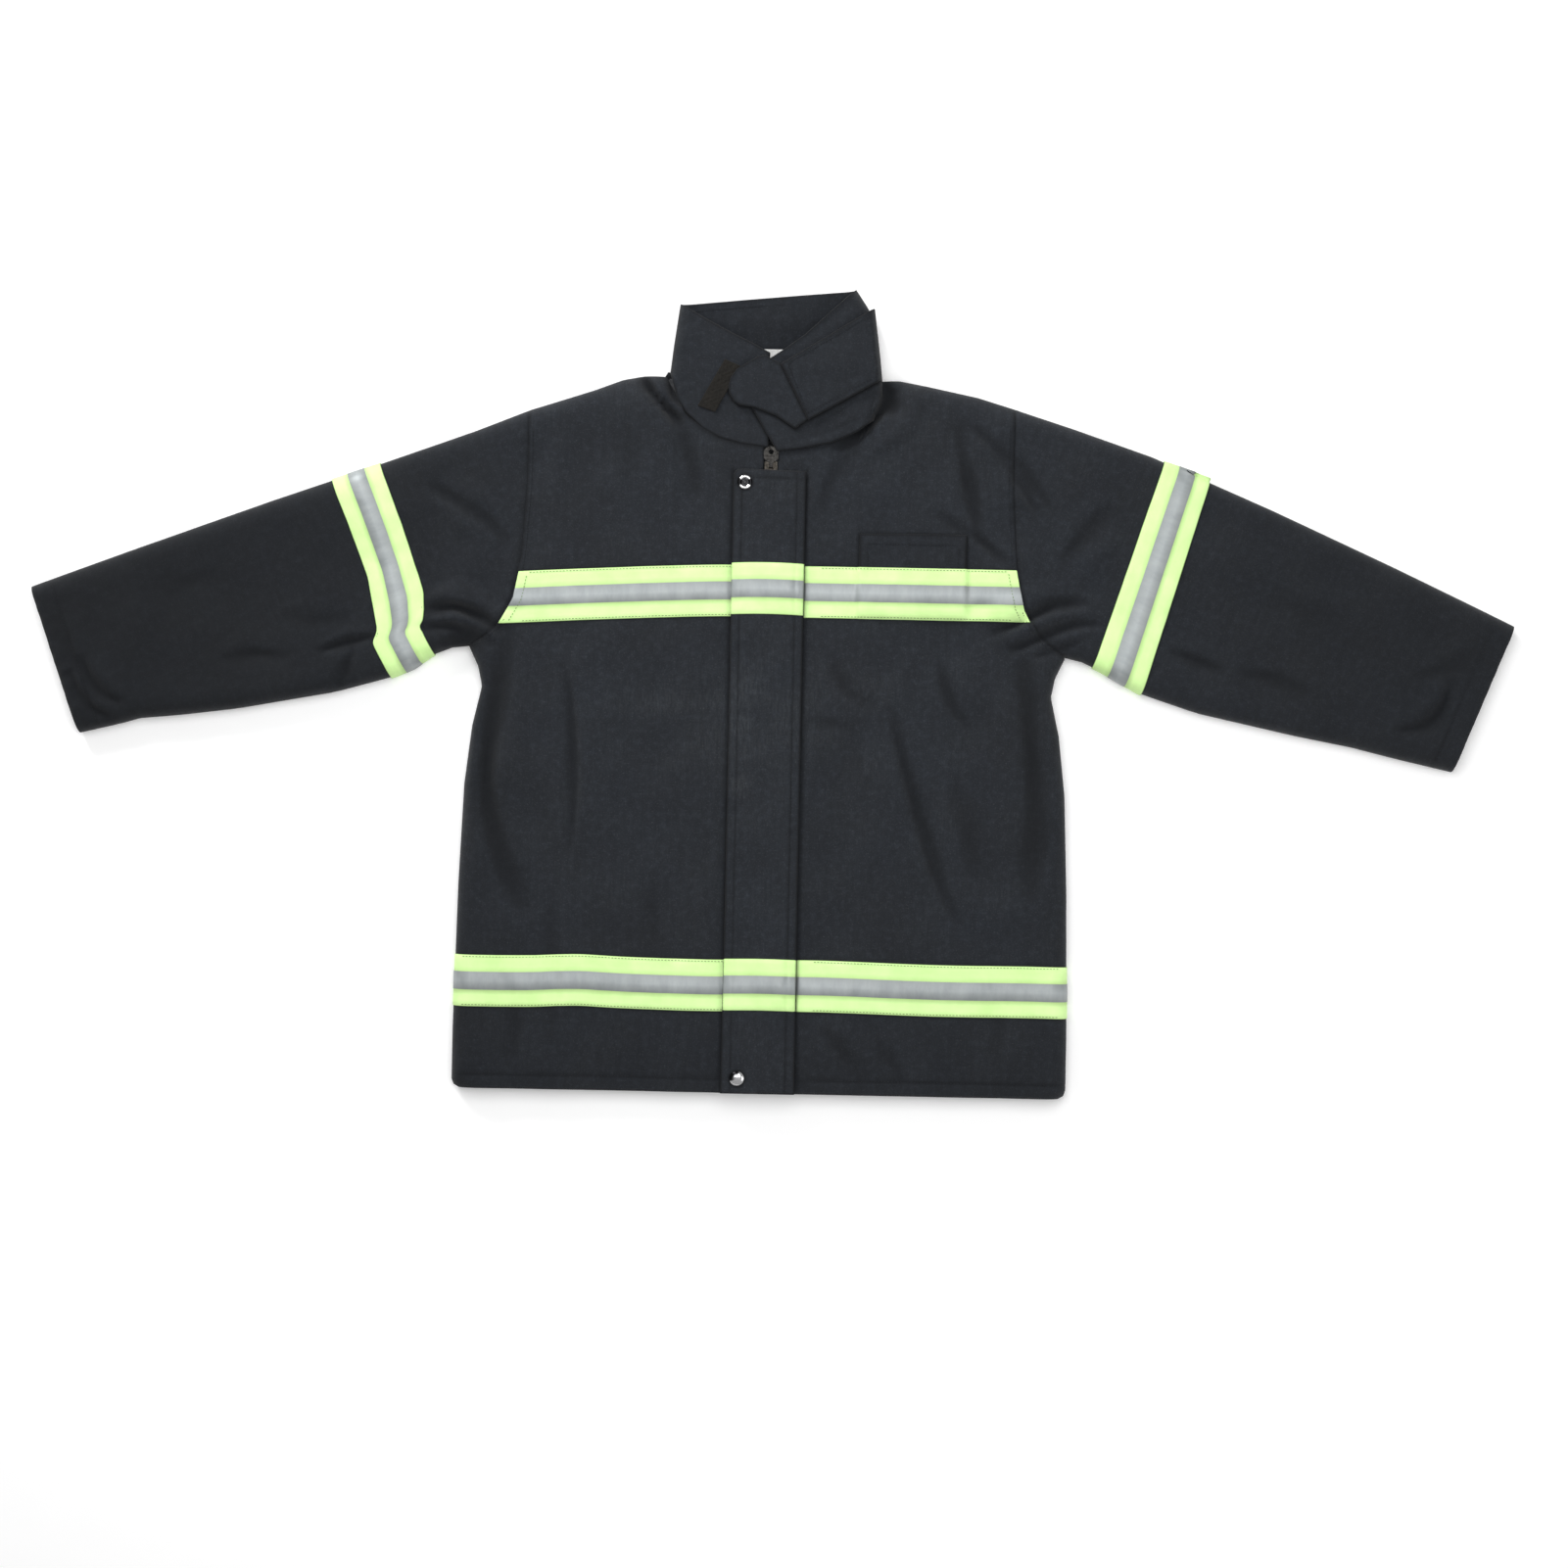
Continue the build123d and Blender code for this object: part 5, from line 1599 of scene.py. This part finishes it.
def loop_patch():
    """The pile that the tab's hooks grip, sewn on the right collar."""
    foot, head = [(-76, 701), (-58, 695)], [(-49, 749), (-32, 742)]
    left, right = [(-76, 701), (-49, 749)], [(-58, 695), (-32, 742)]

    def floor_of(x, y):
        return RIGHT_FLOOR(x, y) + 3.6 + right_collar_relief(x, y)

    piece = padded_patch("collar_loop_pile", foot, head, left, right, 50, 26, floor_of, 1.8, 0.8, LOOP,
                         puff=0.3, seed=87, relief=lambda x, y: 0.35 * waves(x, y, 4, 88))
    bend_front(piece)
    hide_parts("collar_loop_patch")


def neck_label():
    """A blank label from LABEL_FOOT up to the collar's seam."""
    x0, x1, y1 = -17, 13, COLLAR_SEAM_Y - 1
    foot, head = [(x0, LABEL_FOOT), (x1, LABEL_FOOT)], [(x0, y1), (x1, y1)]

    def floor_of(x, y):
        return 10.5 + 0.12 * (y - LABEL_FOOT)

    piece = padded_patch("neck_label_cloth", foot, head, [foot[0], head[0]], [foot[1], head[1]], 16, 20,
                         floor_of, 0.5, 0.4, LABEL, puff=0.2, seed=89)
    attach(piece, "root")
    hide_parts("neck_label")


def hanger_loop():
    """A strip of webbing arched between its two sewn ends."""
    x, y = np.meshgrid(np.linspace(-30, 30, 40), np.linspace(712, 722, 6))
    z = 7.4 + 4.2 * np.sqrt(np.clip(1 - (np.clip(np.abs(x), 0, 24) / 24) ** 2, 0, 1))
    grid = np.stack([x, y, z], axis=-1)
    piece = make_piece("hanger_loop_web", grid, grid_faces(*x.shape), WEBBING, thick=1.0)
    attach(piece, "root")
    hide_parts("hanger_loop")


# ---- snaps ---------------------------------------------------------------------------
TURNED_SIDES = 48
TURNED_AT = np.linspace(0, 2 * math.pi, TURNED_SIDES, endpoint=False)


def lathe(name, centre, profile, material):
    """A turned piece from a profile of radii and heights, closed on its axis."""
    radii, heights = np.array(profile, float).T
    rings = np.stack([centre[0] + radii[:, None] * np.cos(TURNED_AT),
                      centre[1] + radii[:, None] * np.sin(TURNED_AT),
                      centre[2] + heights[:, None] + 0 * TURNED_AT], axis=-1)
    ends = [[centre[0], centre[1], centre[2] + heights[k]] for k in (0, -1)]
    points = np.concatenate([rings.reshape(-1, 3), ends])
    foot, tip = len(points) - 2, len(points) - 1
    last = (len(radii) - 1) * TURNED_SIDES
    faces = grid_faces(len(radii), TURNED_SIDES, wrap=True)
    faces += [(foot, (i + 1) % TURNED_SIDES, i) for i in range(TURNED_SIDES)]
    faces += [(tip, last + i, last + (i + 1) % TURNED_SIDES) for i in range(TURNED_SIDES)]
    return make_piece(name, points, faces, material)


def arc_profile(radius, height, count, start, end):
    return [(radius * math.cos(a), height * math.sin(a)) for a in np.linspace(start, end, count)]


def paint_turned(piece, rings, shade, open_centre=False):
    """Paints a turned piece's reflection of the dark cloth round it, by angle."""
    share = np.linspace(1, 0, rings) if open_centre else np.ones(rings)
    values = smoothstep(share * 2.2)[:, None] * shade[None]
    paint(piece, "painted_shade", np.concatenate([values.ravel(), [0.0, 0.0]]))


def snap_place(snap):
    x, y = snap
    return x, y, float(flap_top(np.array(x), np.array(y))) + 0.1


def ride_flap(piece):
    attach(piece, "storm_flap")


def head_cap():
    """An open ring with a dark stud in it."""
    x, y, z = snap_place(SNAPS[0])
    profile = [(SNAP_R - 0.6, -0.6), (SNAP_R, 0.1), (SNAP_R - 0.1, 0.9), (SNAP_R - 0.9, 1.7),
               (SNAP_R - 2.0, 1.9), (SNAP_R - 3.0, 1.5), (SNAP_R - 3.5, 0.8), (SNAP_R - 3.6, 0.3), (0.6, 0.3)]
    ring = lathe("snap_cap_head", (x, y, z), profile, CAP_METAL)
    paint_turned(ring, len(profile), smoothstep((np.abs(np.cos(TURNED_AT)) - 0.74) / 0.14))
    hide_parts("snap_caps")
    eye_profile = [(SNAP_R - 3.6, 0.0), (2.9, 0.25)] + arc_profile(2.2, 0.9, 8, 0.2, 1.5)
    ride_flap(lathe("snap_cap_eye", (x, y, z + 0.28), eye_profile, DARK_METAL))
    ride_flap(ring)


def hem_cap():
    """A closed dome."""
    profile = [(SNAP_R - 0.6, -0.6), (SNAP_R, 0.1), (SNAP_R - 0.1, 0.7), (SNAP_R - 0.8, 1.1)]
    profile += [(r, 1.1 + h) for r, h in arc_profile(SNAP_R - 1.1, 1.6, 12, 0.1, 1.5)]
    dome = lathe("snap_cap_hem", snap_place(SNAPS[1]), profile, CAP_METAL)
    paint_turned(dome, len(profile), smoothstep((np.cos(TURNED_AT - 2.4) - 0.25) / 0.3), open_centre=True)
    ride_flap(dome)


# ---- stitches ------------------------------------------------------------------------
STITCH_PITCH = 3.4
STITCH_LONG = 2.4
STITCH_R = 0.33
STITCH_SIDES = 5
# places along a stitch: the share of its length, its lift and its size
STITCH_ARCH = ((0.0, -0.25, 0.25), (0.2, 0.12, 1.0), (0.5, 0.22, 1.1), (0.8, 0.12, 1.0), (1.0, -0.25, 0.25))
# from a tape's edges to its stitches, and where the rows along the tapes end
TAPE_STITCH = 1.9
BAND_STITCH = 1.8
BAND_SLOPE = 0.32
CHEST_ROW_END = 252
HEM_ROW_END = 306
HEM_THREAD_END = 308
# the left tapes' threads begin out of the way of the opened flap's own tapes
FLAP_CLEAR = 18


def stitch_points(a, b):
    """The points of one arched stitch between two places."""
    heading = (b - a) / max(np.linalg.norm(b - a), 1e-6)
    across = np.cross(heading, (0, 0, 1))
    across = across / max(np.linalg.norm(across), 1e-6)
    up = np.cross(across, heading)
    turn = np.linspace(0, 2 * math.pi, STITCH_SIDES, endpoint=False)
    points = []
    for f, lift, size in STITCH_ARCH:
        middle = a + (b - a) * f + up * lift
        points += [middle + STITCH_R * size * (across * math.cos(t) + up * math.sin(t)) for t in turn]
    return points


def stitch_faces(first):
    rings, sides = len(STITCH_ARCH), STITCH_SIDES
    faces = [tuple(first + i for i in f) for f in grid_faces(rings, sides, wrap=True)]
    faces.append(tuple(first + i for i in range(sides))[::-1])
    faces.append(tuple(first + (rings - 1) * sides + i for i in range(sides)))
    return faces


def stitch_runs(name, paths, material, follow):
    """Thread along paths of points on the cloth, as one piece of short arched stitches."""
    points, faces = [], []
    for path in paths:
        path = np.array(path, float)
        reach = np.concatenate([[0], np.cumsum(np.linalg.norm(np.diff(path, axis=0), axis=1))])
        for k in range(int(reach[-1] // STITCH_PITCH)):
            ends = (k * STITCH_PITCH, k * STITCH_PITCH + STITCH_LONG)
            a, b = [np.array([np.interp(end, reach, path[:, i]) for i in range(3)]) for end in ends]
            faces += stitch_faces(len(points))
            points += stitch_points(a, b)
    piece = make_piece(name, points, faces, material)
    follow(piece)


def on_front(line, lift=0.1, surface=None, spacing=2.0):
    """A line of places as points just above the front or another surface."""
    line = np.array(line, float)
    total = float(np.sum(np.linalg.norm(np.diff(line, axis=0), axis=1)))
    flat = resample(line, np.linspace(0, 1, max(int(total / spacing), 2)))
    height = surface or front_height
    return np.column_stack([flat, height(flat[:, 0], flat[:, 1]) + lift])


def cloth_threads(side):
    """Along a front's hem and armhole, and round the cuff."""
    arm = side_name(side)
    inner = EDGE_X + 3 if side < 0 else FLAP_SEWN + 1
    hem = on_front([(side * inner, HEM_STITCH), (side * HEM_THREAD_END, HEM_STITCH)])
    hole = smooth_line(armhole(side), 40, 2)[3:-3] - np.array([4.5, 0])
    stitch_runs(f"{arm}_front_thread", [hem, on_front(flip(hole, side))], THREAD,
                lambda piece: bend_front(piece))
    inward = np.array([-math.cos(SLEEVE_SLOPE), math.sin(SLEEVE_SLOPE)]) * CUFF_STITCH
    ends = [np.array(line[-1], float) + inward for line in (SLEEVE_LOW[side], SLEEVE_TOP[side])]
    cuff = on_front(flip(resample(ends, np.linspace(0.04, 0.96, 12)), side))
    stitch_runs(f"{arm}_cuff_thread", [cuff], THREAD, lambda piece: bend_elbow(piece, side))


def tape_surface(x, y):
    return front_height(x, y) + pocket_rise(x, y) + 1.0


def trim_threads(side):
    """Along the edges of a front's tapes, and across the chest tape's slanted end."""
    inner = EDGE_X + 4 if side < 0 else FLAP_SEWN + FLAP_CLEAR
    rows = [(chest_line, TAPE_STITCH, CHEST_ROW_END),
            (chest_line, TAPE_WIDE - TAPE_STITCH, CHEST_ROW_END - 6),
            (hem_line, TAPE_STITCH, HEM_ROW_END),
            (hem_line, TAPE_WIDE - TAPE_STITCH, HEM_ROW_END)]
    paths = []
    for line, across, far in rows:
        xs = side * np.linspace(inner, far, 30)
        paths.append(on_front(np.column_stack([xs, line(xs) + across]), surface=tape_surface))
    low_end, high_end = (-9, 40) if side < 0 else (2, 51)
    slant_y = np.linspace(CHEST_TAPE + low_end, CHEST_TAPE + high_end, 10)
    slant = [(side * (side_at(np.array(y), side) - 10), y) for y in slant_y]
    paths.append(on_front(slant, surface=tape_surface))
    stitch_runs(f"{side_name(side)}_trim_thread", paths, TRIM_THREAD, lambda piece: bend_front(piece))


def band_threads(side):
    """Along both edges of a sleeve's band."""
    paths = []
    for line, toward in ((BAND_INNER[side], BAND_STITCH), (BAND_OUTER[side], -BAND_STITCH)):
        shift = np.array([toward * math.cos(BAND_SLOPE), -toward * math.sin(BAND_SLOPE)])
        paths.append(on_front(flip(smooth_line(line, 40, 1)[3:-3] + shift, side), lift=1.1))
    stitch_runs(f"{side_name(side)}_band_thread", paths, TRIM_THREAD,
                lambda piece: bend_shoulder(piece, side))


def flap_threads():
    """Down both sides of the flap between its tapes, and across its head."""
    left, right, head = FLAP_FREE + FLAP_HEM, FLAP_SEWN - FLAP_HEM, FLAP_TOP - FLAP_HEM
    gaps = ((2, HEM_TAPE - 1), (HEM_TAPE + TAPE_WIDE + 2, CHEST_TAPE), (CHEST_TAPE + TAPE_WIDE + 2, head))
    lines = [[(x, a), (x, b)] for x in (left, right) for a, b in gaps] + [[(left, head), (right, head)]]
    stitch_runs("flap_thread", [on_front(line, surface=flap_top, lift=0.0) for line in lines], THREAD,
                lambda piece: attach(piece, "storm_flap"))


def pocket_surface(x, y):
    return front_height(x, y) + POCKET_LIFT + 0.9


def pocket_threads():
    left, right, head = POCKET_X[0] + 8, POCKET_X[1] - 8, POCKET_Y[1] - 10
    foot = CHEST_TAPE + TAPE_WIDE + 1
    lines = [[(left, head), (right, head)], [(left, foot), (left, head)], [(right, foot), (right, head)]]
    paths = [on_front(line, surface=pocket_surface) for line in lines]
    stitch_runs("pocket_thread", paths, THREAD, lambda piece: bend_front(piece))


def collar_threads():
    cover = [(36, 695), (107, 735), (99, 796), (15, 745), (36, 695)]
    stitch_runs("cover_thread", [on_front(cover, surface=lambda x, y: COVER_FLOOR(x, y) + 3.3)], THREAD,
                lambda piece: bend_front(piece))
    rim = [(-88, 799), (-30, 805), (30, 811), (76, 815)]
    stitch_runs("collar_back_thread", [on_front(rim, surface=lambda x, y: 9.2 + 0 * x)], THREAD,
                lambda piece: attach(piece, "root"))


def all_stitches():
    for side in (1, -1):
        cloth_threads(side)
        trim_threads(side)
        band_threads(side)
    flap_threads()
    pocket_threads()
    collar_threads()


# ---- camera, floor and light ---------------------------------------------------------
LENS = 75.0
SENSOR = 36.0
VIEW_WIDE = 1.601
CAMERA_XY = (0.020, -0.095)
CAMERA_TURN = 1.17
FLOOR_HALF = 12.0
FLOOR_Z = -0.0004
WORLD_LIGHT = 0.42
# each lamp is its name, place, size and power
LAMPS = [
    ("key", (-1.5, 2.3, 1.25), 0.9, 68.0),
    ("fill", (2.3, -0.6, 1.9), 1.6, 20.0),
    ("top", (0.0, 0.35, 1.7), 1.2, 18.0),
]
LAMP_AIM = (0.0, 0.05, 0.0)


def add_camera():
    """Straight above the coat, as high as makes the view that wide at the coat's front."""
    scene = bpy.context.scene
    data = bpy.data.cameras.new("camera")
    data.lens, data.sensor_width = LENS, SENSOR
    camera = bpy.data.objects.new("camera", data)
    scene.collection.objects.link(camera)
    camera.location = (*CAMERA_XY, VIEW_WIDE * LENS / SENSOR + FRONT_Z * MM)
    camera.rotation_euler = (0, 0, math.radians(CAMERA_TURN))
    scene.view_settings.view_transform = "Standard"
    scene.camera = camera


def add_floor():
    floor = plain_object("floor", square(FLOOR_HALF, FLOOR_Z), [(0, 1, 2, 3)])
    paper = Nodes("floor_paper", (0.93, 0.93, 0.93), 0.9, Emission_Color=(1.0, 1.0, 1.0, 1),
                  Emission_Strength=0.12)
    grain = paper.noise(paper.place(30.0, 0.0, "object"), 1.0, 3.0, 0.5)
    paper.color(paper.mix(grain, (0.93, 0.93, 0.93), (0.95, 0.95, 0.95)))
    floor.data.materials.append(paper.material)


def add_light():
    scene = bpy.context.scene
    world = bpy.data.worlds.new("studio")
    scene.world = world
    world.use_nodes = True
    background = world.node_tree.nodes["Background"].inputs
    background["Color"].default_value = (1.0, 1.0, 1.0, 1)
    background["Strength"].default_value = WORLD_LIGHT
    for name, place, size, power in LAMPS:
        light = bpy.data.lights.new(name, "AREA")
        light.size, light.energy = size, power
        lamp = bpy.data.objects.new(name, light)
        scene.collection.objects.link(lamp)
        lamp.location = place
        lamp.visible_camera = False
        aim = Vector(LAMP_AIM) - Vector(place)
        lamp.rotation_euler = aim.to_track_quat("-Z", "Y").to_euler()


# ---- carried-over CAD nodes ----------------------------------------------------------
# each node's material, and the width of its rounding
FINISHES = {
    "right_zip_tape": (ZIP_TAPE, 0.1), "left_zip_tape": (ZIP_TAPE, 0.1),
    "right_zip_teeth": (BRASS, 0.25), "left_zip_teeth": (BRASS, 0.25),
    "zip_retainer_box": (BRASS, 0.5), "zip_slider": (BRASS, 0.6), "zip_pull": (PULL_METAL, 0.5),
    "snap_studs": (CHROME, 0.25), "snap_eyelets": (CHROME, 0.25), "snap_sockets": (CHROME, 0.25),
    "front_loop_strip": (LOOP, 0.2), "flap_hook_strip": (LOOP, 0.2), "throat_tab_hook": (LOOP, 0.2),
}


def finish_nodes():
    """The hard pieces and the narrow tapes keep their CAD shape and get real finishes."""
    for node, (material, width) in FINISHES.items():
        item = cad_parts[node]
        item.data.materials.clear()
        item.data.materials.append(material)
        rounding = item.modifiers.new("bevel", "BEVEL")
        rounding.width = width * MM
        rounding.segments = 2
        rounding.limit_method = "ANGLE"


def build():
    add_camera()
    add_floor()
    add_light()
    drape()
    body_back()
    back_lining()
    collar_back()
    neck_label()
    hanger_loop()
    for side in (-1, 1):
        body_front(side)
        front_lining(side)
        sleeve(side)
        sleeve_lining(side)
        sleeve_band(side)
    pocket()
    for side in (-1, 1):
        arm = side_name(side)
        inner = EDGE_X + 3 if side < 0 else FLAP_SEWN + 0.8
        body_trim(f"{arm}_chest_tape", side, chest_line, inner, [f"{arm}_side_tapes", f"{arm}_edge_tapes"])
        body_trim(f"{arm}_hem_tape", side, hem_line, inner, [])
    back_trim("back_chest_tape", lambda x: CHEST_TAPE + x, ["back_tapes"])
    back_trim("back_hem_tape", lambda x: HEM_TAPE + x, [])
    collar_right()
    loop_patch()
    collar_left()
    throat_tab()
    collar_cover()
    storm_flap()
    flap_trim("flap_chest_tape", CHEST_TAPE + 1.8, ["flap_tapes"])
    flap_trim("flap_hem_tape", HEM_TAPE + 0.6, [])
    head_cap()
    hem_cap()
    all_stitches()
    finish_nodes()


build()
